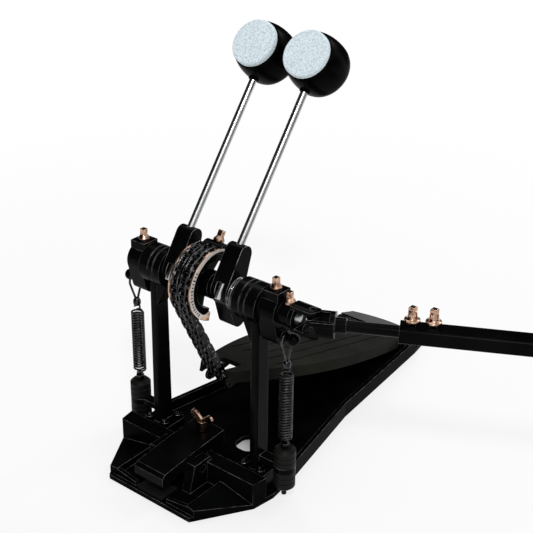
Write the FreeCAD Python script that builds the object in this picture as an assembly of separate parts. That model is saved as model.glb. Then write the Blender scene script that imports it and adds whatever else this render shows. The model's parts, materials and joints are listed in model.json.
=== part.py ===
"""Double bass drum pedal: primary pedal, drive shaft and second pedal, one solid per piece.

X runs along the axle towards the second pedal, Y towards the player's heel, Z up.
The origin is on the floor under the primary axle, in the plane of its chain cam.
"""
import FreeCAD
import Part
import math
import os

V = FreeCAD.Vector
X_AXIS = V(1, 0, 0)
Y_AXIS = V(0, 1, 0)
Z_AXIS = V(0, 0, 1)
ORIGIN = V(0, 0, 0)

# Fits and clearances, in millimetres
running_gap = 0.05
side_gap = 1.0
loose_gap = 0.3
bolt_gap = 0.1

# Axle and bearings
axle_height = 200.0
axle_radius = 6.0
spigot_radius = 3.5
spigot_length = 17.0
axle_split_x = 19.0
bearing_radius = 13.0
bearing_width = 8.0

# Beaters
beater_spacing = 60.0
beater_lean_deg = 37.0
rod_radius = 3.6
rod_offset = 11.5
rod_tail = 12.0
rod_top = 234.0
hub_width = 18.0
hub_boss_radius = 14.0
hub_arm_length = 43.0
hub_arm_radius = 8.5
hub_arm_root = 13.0
hub_slot_end = 3.0
hub_lobe_drop = 27.0
hub_lobe_back = 4.0
hub_lobe_root = 12.0
hub_lobe_radius = 8.5
head_centre = 222.0
head_radius = 24.0
head_front = 18.0
head_back = 23.0
head_dome_edge = 9.0
head_neck_radius = 6.2
head_neck_length = 5.0
felt_radius = 23.0
felt_thick = 6.0
felt_edge = 2.0

# Chain cam and duplex roller chain
chain_pitch = 8.0
cam_teeth = 26
tangent_deg = -27.0
wrap_links = 9
span_links = 14
strand_offset = 4.9
roller_radius = 2.5
roller_width = 4.6
plate_thick = 1.2
plate_gap = 0.2
plate_radius = 3.5
pin_radius = 1.15
pin_overhang = 0.7
tooth_thick = 3.8
tooth_tip = 2.0
tooth_end_share = 0.45
seat_flare = 1.6
spare_seats = 3
rim_gap = 0.9
rim_depth = 6.0
cam_side_gap = 0.7
cam_web_half = 3.5
cam_hub_radius = 13.0
cam_hub_proud = 1.1
cam_from_deg = -75.0
cam_to_deg = 138.0
flange_radius = 34.5
flange_depth = 8.0
flange_shift = 4.0
flange_thick = 2.2
dome_deg = 122.0
dome_radius = 8.5
dome_seat = 1.4

# Key bolts
key_flange_radius = 5.5
key_flange_height = 2.0
key_cone_radius = 3.6
key_cone_height = 3.0
key_square = 5.0
key_square_height = 6.0
key_shank_radius = 3.0
key_shank_length = 8.0
key_short_shank = 4.5
key_hole_spare = 1.0

# Spring rockers, links, springs and anchors
rocker_width = 18.0
rocker_radius = 15.0
rocker_top = 20.0
rocker_top_half = 9.0
stud_drop = 24.0
stud_boss_radius = 9.0
stud_radius = 3.5
stud_length = 9.0
stud_ball_radius = 5.5
link_wire = 1.25
link_half_width = 8.0
link_block_half = 4.0
link_block_height = 8.0
spring_drop = 56.0
spring_bottom = 64.0
spring_lead = 6.5
spring_pitch = 2.9
spring_mean_radius = 5.75
spring_wire = 1.0
anchor_radius = 2.5
anchor_head_radius = 4.0
anchor_head_height = 4.0
anchor_tip = 6.0
knob_radius = 10.5
knob_top = 59.0
knob_bottom = 14.0
knob_taper = 3.0
knob_groove = 1.0
lug_bottom = 34.0
lug_top = 40.0

# Posts
housing_radius = 19.0
housing_width = 26.0
housing_groove_width = 1.2
housing_groove_depth = 0.8
housing_groove_first = 8.0
housing_groove_pitch = 6.0
collar_width = 8.0
collar_radius = 16.0
collar_groove = 0.8
collar_groove_first = 2.4
collar_groove_pitch = 2.4
post_inset = 3.0
post_thick = 9.0
post_top_half = 8.5
post_foot_half = 10.0
post_edge = 2.5
gusset_drop = 36.0
gusset_half = 7.5
foot_half = 15.5
foot_inner = 24.0
foot_outer = 8.0
foot_thick = 20.0
foot_edge = 4.0
screw_head_radius = 4.5
screw_head_height = 4.5
screw_shank_radius = 2.9
screw_socket = 2.4
screw_y = 9.5
screw_edge = 1.5

# Base plate
base_thick = 5.0
base_tongue_half = 52.0
base_front = -84.0
base_shoulder_half = 86.0
base_shoulder_y = -31.0
base_wide_half = 90.0
base_wide_y = -6.0
base_waist_half = 86.0
base_waist_y = 30.0
base_middle_half = 64.0
base_middle_y = 150.0
base_heel_half = 51.0
base_heel_run = 22.0
base_back_half = 47.0
base_back_run = 47.0
rail_height = 12.0
rail_thick = 4.5
window_half_x = 12.0
window_half_y = 13.0
window_x = 20.0
window_y = 42.0
window_corner = 10.0
beam_top = 28.0
beam_front = -32.0
tongue_half = 49.0
tongue_wall = 4.0
tongue_inset = 4.0
tongue_top = 13.0
mouth_half = 20.0
mouth_top = 8.5

# Footboard, heel plate and hinge
hinge_z = 22.0
hinge_pin_radius = 2.5
knuckle_radius = 6.0
knuckle_half = 28.0
hinge_half = 44.0
board_length = 286.0
board_top = 6.0
board_skin = 4.5
board_skirt = 3.0
board_depth = 12.0
board_toe_half = 19.0
board_neck = 26.0
board_neck_half = 26.0
board_flare = 97.0
board_flare_half = 43.5
board_full = 167.0
board_full_half = 50.0
board_rear = 237.0
board_bulge = 1.0
board_heel_half = 45.0
board_heel_gap = 8.0
board_groove_width = 2.4
board_groove_depth = 0.9
board_groove_pitch = 14.0
board_groove_from = 59.0
board_groove_to = 24.0
board_groove_sides = 2
toe_notch_gap = 1.1
toe_notch_depth = 27.0
toe_pin_inset = 10.1
toe_pin_drop = 8.6
heel_half = 45.5
heel_front_gap = 7.0
heel_round_run = 32.0
heel_back_run = 46.0
heel_front_top = 27.0
heel_back_top = 14.0
bracket_ear_thick = 2.5
bracket_ear_radius = 6.0
bracket_slack = 1.6
bracket_plate = 3.5
bracket_plate_from = 37.0
bracket_plate_to = 59.0
bracket_pin_reach = 1.0

# Hoop clamp
jaw_half = 18.0
jaw_pivot_y = -38.0
jaw_pivot_z = 24.0
jaw_pivot_radius = 4.0
jaw_nose_y = -82.0
jaw_rear_y = 6.0
jaw_gap_top = 22.0
jaw_thick = 7.0
jaw_front_top = 34.0
jaw_middle_top = 37.5
jaw_rear_top = 40.0
cheek_thick = 10.0
cheek_half = 19.0
cheek_top_half = 11.0
cheek_top = 32.0
pad_half = 16.0
pad_from = -82.0
pad_to = -60.0
pad_thick = 4.0
pad_corner = 3.0
screw_axis_y = -6.0
wing_shank_radius = 4.0
wing_tip = 6.0
wing_hub_radius = 5.5
wing_hub_from = 40.2
wing_hub_to = 50.0
wing_reach = 9.5
wing_rise = 9.0
wing_radius = 4.2
wing_thick = 2.6
clamp_spring_mean = 8.0
clamp_spring_wire = 0.9
clamp_spring_turns = 4
clamp_spring_lead = 3.6
coil_lead_deg = 35.0
points_per_turn = 40

# Drive shaft
shaft_bend_deg = 28.0
joint_reach = 15.0
fork_gap = 8.7
fork_ear = 5.0
fork_radius = 7.0
fork_hub_radius = 12.0
fork_hub_length = 4.5
cross_pin_radius = 3.0
cross_half = 5.0
cross_pin_reach = 13.2
open_pivot_gap = 0.6
yoke_sleeve_radius = 11.0
yoke_sleeve_length = 11.5
shaft_length = 460.0
shaft_collar_radius = 7.0
shaft_collar_end = 29.0
bar_radius = 5.25
bar_end = 260.0
tube_start = 74.0
tube_neck_length = 28.5
tube_width = 20.0
tube_height = 13.5
tube_edge = 2.0
tube_plug = 40.0
tube_bolt_first = 10.0
tube_bolt_pitch = 18.0

# Second pedal
second_cam_x = 75.0
second_post_gap = 9.0
second_wide_half = 62.0
second_front = -46.0
second_waist_half = 58.0

# Places worked out from the sizes above
hub_x = beater_spacing / 2
hub_face = hub_x + hub_width / 2
left_inner = hub_face + side_gap
left_outer = left_inner + housing_width
right_inner = hub_face + collar_width + side_gap
right_outer = right_inner + housing_width
left_rocker = left_outer + side_gap
right_rocker = right_outer + side_gap
left_spring_x = -(left_rocker + rocker_width + stud_length / 2)
right_spring_x = right_rocker + rocker_width + stud_length / 2
yoke_start = right_rocker + rocker_width + side_gap / 2
yoke_face = yoke_start + yoke_sleeve_length + fork_hub_length
joint_inner = V(yoke_face + joint_reach, 0, axle_height)
shaft_bend = math.radians(shaft_bend_deg)
shaft_way = V(math.cos(shaft_bend), math.sin(shaft_bend), 0)
joint_outer = joint_inner + shaft_way * shaft_length
second_x = joint_outer.x + second_cam_x
second_y = joint_outer.y
second_move = V(second_x, second_y, 0)
tube_end = shaft_length - joint_reach - fork_hub_length - tube_neck_length
cam_step = 2 * math.pi / cam_teeth
pitch_radius = chain_pitch / (2 * math.sin(cam_step / 2))
rim_radius = pitch_radius - plate_radius - rim_gap
chain_half = strand_offset + roller_width / 2 + 2 * plate_thick + plate_gap + pin_overhang
cam_half_width = chain_half + cam_side_gap
cam_hub_half = cam_half_width + flange_thick + cam_hub_proud
second_inner = cam_hub_half + second_post_gap
second_outer = second_inner + housing_width
spring_top = axle_height - spring_drop
spring_turns = round((spring_top - spring_bottom - 2 * spring_lead) / spring_pitch)
tangent = math.radians(tangent_deg)
span_length = span_links * chain_pitch
toe_pin_y = -math.cos(tangent) * pitch_radius - math.sin(tangent) * span_length
toe_pin_z = axle_height + math.sin(tangent) * pitch_radius - math.cos(tangent) * span_length
toe_notch_half = chain_half + toe_notch_gap
toe_pin_run = board_length - toe_pin_inset
toe_reach = math.hypot(toe_pin_run, toe_pin_drop)
toe_rise = toe_pin_z - hinge_z
board_slope = math.asin(toe_rise / toe_reach) + math.atan2(toe_pin_drop, toe_pin_run)
hinge_y = toe_pin_y + math.sqrt(toe_reach * toe_reach - toe_rise * toe_rise)
heel_round_y = hinge_y + heel_round_run
heel_back = hinge_y + heel_back_run
base_heel_y = hinge_y + base_heel_run
base_back = hinge_y + base_back_run
lean = math.radians(beater_lean_deg)
lean_up = V(0, math.sin(lean), math.cos(lean))
lean_front = V(0, -math.cos(lean), math.sin(lean))


def box(x0, x1, y0, y1, z0, z1):
    """Block between two corners."""
    return Part.makeBox(x1 - x0, y1 - y0, z1 - z0, V(x0, y0, z0))


def bar_between(start, end, radius):
    """Round bar from one point to another."""
    way = end - start
    return Part.makeCylinder(radius, way.Length, start, way)


def round_x(radius, x0, x1, y=0.0, z=0.0):
    """Round bar along X."""
    return Part.makeCylinder(radius, x1 - x0, V(x0, y, z), X_AXIS)


def round_z(radius, z0, z1, x=0.0, y=0.0):
    """Round bar along Z."""
    return Part.makeCylinder(radius, z1 - z0, V(x, y, z0), Z_AXIS)


def prism(points, way):
    """Straight-sided solid from a closed outline of vectors."""
    wire = Part.makePolygon(points + [points[0]])
    return Part.Face(wire).extrude(way)


def prism_x(outline, x0, x1):
    """Solid along X from (y, z) corners."""
    return prism([V(x0, y, z) for y, z in outline], V(x1 - x0, 0, 0))


def hull_x(y0, z0, r0, y1, z1, r1, x0, x1):
    """Tapered bar along X that wraps two circles in the Y-Z plane."""
    first = V(x0, y0, z0)
    second = V(x0, y1, z1)
    way = second - first
    along = V(way).normalize()
    across = X_AXIS.cross(along)
    cosine = (r0 - r1) / way.Length
    sine = math.sqrt(1 - cosine * cosine)
    high = along * cosine + across * sine
    low = along * cosine - across * sine
    edges = [
        Part.makeLine(first + high * r0, second + high * r1),
        Part.Arc(second + high * r1, second + along * r1, second + low * r1).toShape(),
        Part.makeLine(second + low * r1, first + low * r0),
        Part.Arc(first + low * r0, first - along * r0, first + high * r0).toShape(),
    ]
    return Part.Face(Part.Wire(edges)).extrude(V(x1 - x0, 0, 0))


def rounded_wire(x0, x1, y0, y1, radius, z):
    """Closed rectangle with round corners, level at z."""
    turn = radius * (1 - math.sqrt(0.5))
    edges = [
        Part.makeLine(V(x0 + radius, y0, z), V(x1 - radius, y0, z)),
        Part.Arc(V(x1 - radius, y0, z), V(x1 - turn, y0 + turn, z), V(x1, y0 + radius, z)).toShape(),
        Part.makeLine(V(x1, y0 + radius, z), V(x1, y1 - radius, z)),
        Part.Arc(V(x1, y1 - radius, z), V(x1 - turn, y1 - turn, z), V(x1 - radius, y1, z)).toShape(),
        Part.makeLine(V(x1 - radius, y1, z), V(x0 + radius, y1, z)),
        Part.Arc(V(x0 + radius, y1, z), V(x0 + turn, y1 - turn, z), V(x0, y1 - radius, z)).toShape(),
        Part.makeLine(V(x0, y1 - radius, z), V(x0, y0 + radius, z)),
        Part.Arc(V(x0, y0 + radius, z), V(x0 + turn, y0 + turn, z), V(x0 + radius, y0, z)).toShape(),
    ]
    return Part.Wire(edges)


def rounded_block(x0, x1, y0, y1, radius, z0, z1):
    """Upright block with round corners."""
    return Part.Face(rounded_wire(x0, x1, y0, y1, radius, z0)).extrude(V(0, 0, z1 - z0))


def fuse(pieces):
    """One solid from touching pieces, with its seams cleaned away."""
    return pieces[0].multiFuse(pieces[1:]).removeSplitter()


def mirrored(shape):
    """The same piece on the other side of the cam's plane."""
    return shape.mirror(ORIGIN, X_AXIS)


def placed(shape, way, at):
    """A piece made along +Z, turned to a direction and moved to a point."""
    copy = shape.copy()
    copy.Placement = FreeCAD.Placement(at, FreeCAD.Rotation(Z_AXIS, way))
    return copy


def leaned(s, n, x):
    """Point beside a beater rod: s up the rod, n forward, from the axle."""
    return V(x, 0, axle_height) + lean_up * s + lean_front * n


def cam_point(angle, radius):
    """(y, z) on the cam: angle in radians from the front, rising towards the top."""
    return -math.cos(angle) * radius, axle_height + math.sin(angle) * radius


def arcs_through(start, start_way, end, end_way):
    """Two tangent arcs from one point and direction to another."""
    gap = end - start
    both = start_way + end_way
    spread = 2 * (1 - start_way.dot(end_way))
    along = gap.dot(both)
    reach = (-along + math.sqrt(along * along + spread * gap.dot(gap))) / spread
    middle = (start + end + (start_way - end_way) * reach) * 0.5
    return [arc_from(start, start_way, middle), arc_from(end, end_way * -1, middle)]


def arc_from(start, way, end):
    """Arc that leaves start in a given direction and ends at end."""
    chord = end - start
    unit = V(chord).normalize()
    side = way - unit * way.dot(unit)
    half_turn = math.acos(max(-1.0, min(1.0, way.dot(unit))))
    rise = chord.Length / 2 * math.tan(half_turn / 2)
    return Part.Arc(start, (start + end) * 0.5 + side.normalize() * rise, end).toShape()


def coil(name, x, y, z0, z1, mean, wire, turns, lead, end_radius):
    """Coil spring as one wire, its ends standing straight for one wire diameter."""
    low = z0 + lead
    rise = (z1 - z0 - 2 * lead) / turns

    def helix(quarter):
        angle = quarter * math.pi / 2
        slope = rise / (2 * math.pi)
        point = V(x + mean * math.cos(angle), y + mean * math.sin(angle), low + slope * angle)
        way = V(-mean * math.sin(angle), mean * math.cos(angle), slope).normalize()
        return point, way

    quarters = 4 * turns
    stub = 2 * wire
    turn = math.radians(coil_lead_deg)
    aside = end_radius * math.cos(turn)
    behind = end_radius * math.sin(turn)
    foot = V(x + aside, y - behind, z0)
    head = V(x + aside, y + behind, z1)
    first, first_way = helix(0)
    last, last_way = helix(quarters)
    edges = [Part.makeLine(foot, foot + Z_AXIS * stub)]
    edges += arcs_through(foot + Z_AXIS * stub, Z_AXIS, first, first_way)
    for quarter in range(quarters):
        start, start_way = helix(quarter)
        end, end_way = helix(quarter + 1)
        edges += arcs_through(start, start_way, end, end_way)
    edges += arcs_through(last, last_way, head - Z_AXIS * stub, Z_AXIS)
    edges.append(Part.makeLine(head - Z_AXIS * stub, head))
    path = Part.Wire(Part.__sortEdges__(edges))
    section = Part.Wire(Part.makeCircle(wire, foot, Z_AXIS))
    shell = Part.BRepOffsetAPI.MakePipeShell(path)
    shell.add(section)
    shell.build()
    shell.makeSolid()
    solid = shell.shape()
    points = path.discretize(Number=points_per_turn * turns)
    skip = points_per_turn // 2
    nearest = min(
        (a - b).Length
        for i, a in enumerate(points)
        for b in points[i + skip:i + 4 * skip]
    )
    print(name, "least gap between turns", round(nearest - 2 * wire, 2), "valid", solid.isValid())
    return solid


def key_bolt(at, way, shank=key_shank_length):
    """Square-head bolt with a coned flange, seated at a point and pointing out along way."""
    neck = key_flange_height + key_cone_height
    half = key_square / 2
    pieces = [
        round_z(key_shank_radius, -shank, 0),
        round_z(key_flange_radius, 0, key_flange_height),
        Part.makeCone(key_flange_radius, key_cone_radius, key_cone_height, V(0, 0, key_flange_height)),
        box(-half, half, -half, half, neck, neck + key_square_height),
    ]
    return placed(fuse(pieces), way, at)


def key_hole(at, way, depth=key_shank_length + key_hole_spare):
    """Clearance hole for a key bolt's shank."""
    return placed(round_z(key_shank_radius + bolt_gap, -depth, key_flange_height), way, at)


def socket_screw(x, y, z):
    """Cap screw with a six-sided socket, its head standing on z."""
    head = round_z(screw_head_radius, z, z + screw_head_height, x, y)
    shank = round_z(screw_shank_radius, loose_gap, z, x, y)
    corners = [math.pi / 3 * i for i in range(6)]
    top = z + screw_head_height
    outline = [V(x + screw_socket * math.cos(a), y + screw_socket * math.sin(a), top) for a in corners]
    return fuse([head, shank]).cut(prism(outline, V(0, 0, -screw_head_height / 2)))


def base_outline(steps):
    """Symmetric outline from (half width, y) steps, front to back."""
    right = [V(half, y, 0) for half, y in steps]
    left = [V(-half, y, 0) for half, y in reversed(steps)]
    return right + left


def side_rail(steps):
    """Upright rail inside the right edge of a base, along its outline."""
    outer = [V(half, y, base_thick) for half, y in steps]
    inner = [V(half - rail_thick, y, base_thick) for half, y in reversed(steps)]
    return prism(outer + inner, V(0, 0, rail_height))


def base_plate():
    """Floor plate with its rails, floor window and the clamp's cheeks."""
    heel = [(base_middle_half, base_middle_y), (base_heel_half, base_heel_y)]
    steps = [
        (base_tongue_half, base_front),
        (base_shoulder_half, base_shoulder_y),
        (base_wide_half, base_wide_y),
        (base_waist_half, base_waist_y),
    ] + heel + [(base_back_half, base_back)]
    plate = prism(base_outline(steps), V(0, 0, base_thick))
    rail = side_rail([(base_waist_half, base_waist_y)] + heel)
    cheek_outline = [
        (jaw_pivot_y - cheek_half, base_thick),
        (jaw_pivot_y - cheek_top_half, cheek_top),
        (jaw_pivot_y + cheek_top_half, cheek_top),
        (jaw_pivot_y + cheek_half, base_thick),
    ]
    cheek_inner = jaw_half + side_gap
    cheek = prism_x(cheek_outline, cheek_inner, cheek_inner + cheek_thick)
    front = base_front_walls(cheek_inner).common(prism(base_outline(steps), V(0, 0, beam_top)))
    body = fuse([plate, rail, mirrored(rail), cheek, mirrored(cheek), front, mirrored(front)])
    window = rounded_block(
        window_x - window_half_x, window_x + window_half_x,
        window_y - window_half_y, window_y + window_half_y, window_corner, 0, base_thick)
    reach = cheek_inner + cheek_thick
    pivot = round_x(jaw_pivot_radius + running_gap, -reach, reach, jaw_pivot_y, jaw_pivot_z)
    holes = [window, pivot]
    holes += mirrored(foot_holes(left_outer)).Solids
    holes += foot_holes(right_outer).Solids
    return body.cut(Part.makeCompound(holes))


def base_front_walls(inner):
    """Right-hand cross beam, tongue walls and sloping flank at the front of the base."""
    beam_back = -foot_half - loose_gap
    front = base_front + tongue_inset
    beam = box(inner, base_wide_half, beam_front, beam_back, base_thick, beam_top)
    side = box(tongue_half - tongue_wall, tongue_half, front, beam_front, base_thick, tongue_top)
    lip = prism([
        V(mouth_half, front, base_thick),
        V(mouth_half, front, mouth_top),
        V(tongue_half, front, tongue_top),
        V(tongue_half, front, base_thick),
    ], V(0, tongue_wall, 0))
    flank = prism([
        V(tongue_half, front, base_thick),
        V(tongue_half, front, tongue_top),
        V(base_shoulder_half, front, base_thick),
    ], V(0, beam_front - front, 0))
    return fuse([beam, side, lip, flank])


def foot_places(outer):
    """Screw places on the right-hand foot of a post."""
    inset = screw_head_radius + screw_edge
    xs = (outer - foot_inner + inset, outer + foot_outer - inset)
    return [(x, y) for x in xs for y in (-screw_y, screw_y)]


def foot_holes(outer):
    """Holes for a post's screws through foot and base."""
    radius = screw_shank_radius + bolt_gap
    top = base_thick + foot_thick
    return Part.makeCompound([round_z(radius, 0, top, x, y) for x, y in foot_places(outer)])


def post(inner, outer, lug_x):
    """Right-hand post: housing, upright, gusset, screwed foot and, where asked, the spring lug."""
    x0 = outer - post_inset - post_thick
    x1 = outer - post_inset
    foot_z = base_thick + foot_thick
    top_z = axle_height - housing_radius / 2
    upright = Part.makeLoft([
        rounded_wire(x0, x1, -post_foot_half, post_foot_half, post_edge, base_thick),
        rounded_wire(x0, x1, -post_top_half, post_top_half, post_edge, top_z),
    ], True, True)
    gusset = prism([
        V(inner, -gusset_half, top_z),
        V(x0 + post_edge, -gusset_half, top_z),
        V(x0 + post_edge, -gusset_half, top_z - gusset_drop),
    ], V(0, 2 * gusset_half, 0))
    foot_x0 = outer - foot_inner
    foot_x1 = outer + foot_outer
    foot = rounded_block(foot_x0, foot_x1, -foot_half, foot_half, foot_edge, base_thick, foot_z)
    first = inner + housing_groove_first
    grooves = []
    for x in (first, first + housing_groove_pitch):
        floor = housing_radius - housing_groove_depth
        grooves.append(axle_ring(floor, housing_radius, x, x + housing_groove_width))
    housing = axle_hole(inner, outer, housing_radius).cut(Part.makeCompound(grooves))
    pieces = [upright, gusset, foot, housing]
    holes = [axle_hole(inner, outer, bearing_radius), foot_holes(outer)]
    if lug_x:
        half = post_foot_half / 2
        pieces.append(box(x1 - post_edge, lug_x, -half, half, lug_bottom, lug_top))
        pieces.append(round_z(knob_radius, lug_bottom, lug_top, lug_x, 0))
        holes.append(round_z(anchor_radius + bolt_gap, lug_bottom, lug_top, lug_x, 0))
    return fuse(pieces).cut(Part.makeCompound(holes))


def bearings(inner, outer):
    """Two bearing rings in a right-hand housing."""
    rings = []
    for x in (inner, outer - bearing_width):
        rings.append(axle_ring(axle_radius + running_gap, bearing_radius, x, x + bearing_width))
    return rings


def axle_hole(x0, x1, radius=axle_radius):
    """Bore for the axle, or any round bar on its line."""
    return round_x(radius, x0, x1, 0, axle_height)


def axle_ring(inner, outer, x0, x1):
    """Ring round the axle."""
    return axle_hole(x0, x1, outer).cut(axle_hole(x0, x1, inner))


def beater_hub(x):
    """Clamp that holds a beater rod beside the axle."""
    x0 = x - hub_width / 2
    x1 = x + hub_width / 2
    low = leaned(0, rod_offset - hub_arm_radius, x)
    high = leaned(hub_arm_length - hub_arm_radius, rod_offset - rod_radius / 2, x)
    boss = round_x(hub_boss_radius, x0, x1, 0, axle_height)
    arm = hull_x(low.y, low.z, hub_arm_root, high.y, high.z, hub_arm_radius, x0, x1)
    lobe_z = axle_height - hub_lobe_drop
    lobe = hull_x(0, axle_height, hub_lobe_root, hub_lobe_back, lobe_z, hub_lobe_radius, x0, x1)
    reach = hub_arm_length
    below = leaned(-reach, rod_offset, x)
    hole = bar_between(below, leaned(2 * reach, rod_offset, x), rod_radius + running_gap)
    slot_half = rod_radius + loose_gap
    corners = [(-reach, 0), (hub_slot_end, 0), (hub_slot_end, reach), (-reach, reach)]
    slot_outline = [leaned(s, rod_offset + n, x) for s, n in corners]
    slot = prism_x([(p.y, p.z) for p in slot_outline], x - slot_half, x + slot_half)
    return fuse([boss, arm, lobe]).cut(Part.makeCompound([axle_hole(x0, x1), hole, slot]))


def beater_rod(x):
    """Straight bright rod."""
    return bar_between(leaned(-rod_tail, rod_offset, x), leaned(rod_top, rod_offset, x), rod_radius)


def beater_turning(profile, x):
    """Solid of revolution about the beater head's own axis, from (radius, forward) edges."""
    face = Part.Face(Part.Wire(profile))
    solid = face.revolve(ORIGIN, Z_AXIS, 360)
    return placed(solid, lean_front, leaned(head_centre, rod_offset, x))


def beater_head(x):
    """Round head with a domed back and a short neck, drilled for the rod."""
    flat = head_radius - head_dome_edge
    bulge = head_dome_edge * math.sqrt(0.5)
    back = -head_back
    edge = back + head_dome_edge
    round_back = Part.Arc(V(head_radius, 0, edge), V(flat + bulge, 0, edge - bulge), V(flat, 0, back))
    profile = [
        Part.makeLine(V(0, 0, head_front), V(head_radius, 0, head_front)),
        Part.makeLine(V(head_radius, 0, head_front), V(head_radius, 0, edge)),
        round_back.toShape(),
        Part.makeLine(V(flat, 0, back), V(0, 0, back)),
        Part.makeLine(V(0, 0, back), V(0, 0, head_front)),
    ]
    neck_end = leaned(head_centre - head_radius - head_neck_length, rod_offset, x)
    neck = bar_between(neck_end, leaned(head_centre, rod_offset, x), head_neck_radius)
    hole = bar_between(leaned(0, rod_offset, x), leaned(rod_top, rod_offset, x), rod_radius + running_gap)
    return fuse([beater_turning(profile, x), neck]).cut(hole)


def beater_felt(x):
    """Felt disc on the striking side, with a soft rim."""
    top = head_front + felt_thick
    side = felt_edge * (1 - math.sqrt(0.5))
    rim = felt_radius - felt_edge
    shoulder = top - felt_edge
    round_rim = Part.Arc(V(felt_radius, 0, shoulder), V(felt_radius - side, 0, top - side), V(rim, 0, top))
    profile = [
        Part.makeLine(V(0, 0, head_front), V(felt_radius, 0, head_front)),
        Part.makeLine(V(felt_radius, 0, head_front), V(felt_radius, 0, shoulder)),
        round_rim.toShape(),
        Part.makeLine(V(rim, 0, top), V(0, 0, top)),
        Part.makeLine(V(0, 0, top), V(0, 0, head_front)),
    ]
    return beater_turning(profile, x)


def cam_sector(x0, x1, radius, to_deg=cam_to_deg):
    """Wedge that keeps the cam's working arc."""
    count = 5
    sweep = math.radians(to_deg - cam_from_deg)
    angles = [math.radians(cam_from_deg) + sweep * i / (count - 1) for i in range(count)]
    outline = [(0, axle_height)] + [cam_point(a, 2 * radius) for a in angles]
    return prism_x(outline, x0, x1)


def ring_sector(x0, x1, inner, outer, to_deg=cam_to_deg):
    """Part of a ring on the cam's working arc."""
    return axle_ring(inner, outer, x0, x1).common(cam_sector(x0, x1, outer, to_deg))


def chain_angle(index):
    """Angle of a wrapped chain pin, counted from the point where the chain leaves the cam."""
    return tangent + index * cam_step


def chain_pin(index):
    """(y, z) of a chain pin: on the cam for 0 and up, down the straight span below 0."""
    if index >= 0:
        return cam_point(chain_angle(index), pitch_radius)
    angle = chain_angle(0)
    y, z = cam_point(angle, pitch_radius)
    reach = -index * chain_pitch
    return y - math.sin(angle) * reach, z - math.cos(angle) * reach


def tooth_row(x):
    """One toothed ring with a seat under each roller."""
    half = tooth_thick / 2
    tip = pitch_radius + tooth_tip
    last_deg = math.degrees(chain_angle(wrap_links + tooth_end_share))
    row = ring_sector(x - half, x + half, rim_radius - rim_depth / 2, tip, last_deg)
    seats = []
    for index in range(-spare_seats, wrap_links + spare_seats):
        y0, z0 = cam_point(chain_angle(index), pitch_radius)
        y1, z1 = cam_point(chain_angle(index), pitch_radius + 2 * roller_radius)
        seat = roller_radius + loose_gap
        seats.append(hull_x(y0, z0, seat, y1, z1, seat + seat_flare, x - half, x + half))
    return row.cut(Part.makeCompound(seats))


def chain_cam():
    """Half-moon cam: hub, web, rim and two rows of teeth."""
    half = cam_half_width
    web = round_x(rim_radius, -cam_web_half, cam_web_half, 0, axle_height)
    web = web.common(cam_sector(-cam_web_half, cam_web_half, rim_radius))
    rim = ring_sector(-half, half, rim_radius - rim_depth, rim_radius)
    hub = round_x(cam_hub_radius, -cam_hub_half, cam_hub_half, 0, axle_height)
    body = fuse([hub, web, rim, tooth_row(-strand_offset), tooth_row(strand_offset)])
    return body.cut(axle_hole(-cam_hub_half, cam_hub_half))


def cam_flanges():
    """The two crescent plates beside the chain."""
    x0 = cam_half_width
    x1 = x0 + flange_thick
    y, z = cam_point(math.radians(cam_to_deg), flange_shift)
    hollow = round_x(flange_radius - flange_depth, x0, x1, y, z)
    crescent = axle_hole(x0, x1, flange_radius).cut(hollow)
    right = crescent.common(cam_sector(x0, x1, flange_radius))
    return [mirrored(right), right]


def dome_top():
    """Top of the chain's end clamp and the direction of its bolt."""
    angle = math.radians(dome_deg)
    y, z = cam_point(angle, rim_radius + dome_seat + dome_radius)
    return V(0, y, z), V(0, -math.cos(angle), math.sin(angle))


def chain_clamp():
    """Domed clamp over the chain's end, seated on the cam's rim between the flanges."""
    y, z = cam_point(math.radians(dome_deg), rim_radius + dome_seat)
    half = cam_half_width
    dome = round_x(dome_radius, -half, half, y, z)
    at, way = dome_top()
    return dome.cut(Part.makeCompound([axle_hole(-half, half, rim_radius), key_hole(at, way)]))


def link_pieces(index):
    """Plates, rollers and pins of the link from pin index to the next one down."""
    y0, z0 = chain_pin(index)
    y1, z1 = chain_pin(index - 1)

    def plate(x0, x1):
        return hull_x(y0, z0, plate_radius, y1, z1, plate_radius, x0, x1)

    face = roller_width / 2 + plate_thick
    if index % 2 == 0:
        pieces = []
        for x in (-strand_offset, strand_offset):
            pieces.append(plate(x - face, x - roller_width / 2))
            pieces.append(plate(x + roller_width / 2, x + face))
            for y, z in ((y0, z0), (y1, z1)):
                pieces.append(round_x(roller_radius, x - roller_width / 2, x + roller_width / 2, y, z))
        return pieces
    middle = strand_offset - face - plate_gap
    side = strand_offset + face + plate_gap
    pins = [round_x(pin_radius, -chain_half, chain_half, y, z) for y, z in ((y0, z0), (y1, z1))]
    outer = side + plate_thick
    return [plate(-middle, middle), plate(side, outer), plate(-outer, -side)] + pins


def pin_bore(index):
    """Running bore for a pin that another link carries."""
    y, z = chain_pin(index)
    return round_x(pin_radius + running_gap, -2 * strand_offset, 2 * strand_offset, y, z)


def chain_run(first, last):
    """Links from pin first down to pin last, bored where the next run's pin goes through."""
    pieces = []
    for index in range(first, last, -1):
        pieces += link_pieces(index)
    bores = [pin_bore(pin) for pin, link in ((first, first), (last, last + 1)) if link % 2 == 0]
    shape = fuse(pieces)
    if bores:
        shape = shape.cut(Part.makeCompound(bores))
    return shape


def chain_span():
    """Straight run of chain to the toe, ending in the long pin that the toe bracket takes."""
    y, z = chain_pin(-span_links)
    reach = toe_notch_half + bracket_ear_thick + bracket_pin_reach
    pin = round_x(pin_radius, -reach, reach, y, z)
    pieces = [pin]
    for index in range(0, -span_links, -1):
        pieces += link_pieces(index)
    return fuse(pieces).cut(pin_bore(0))


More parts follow.
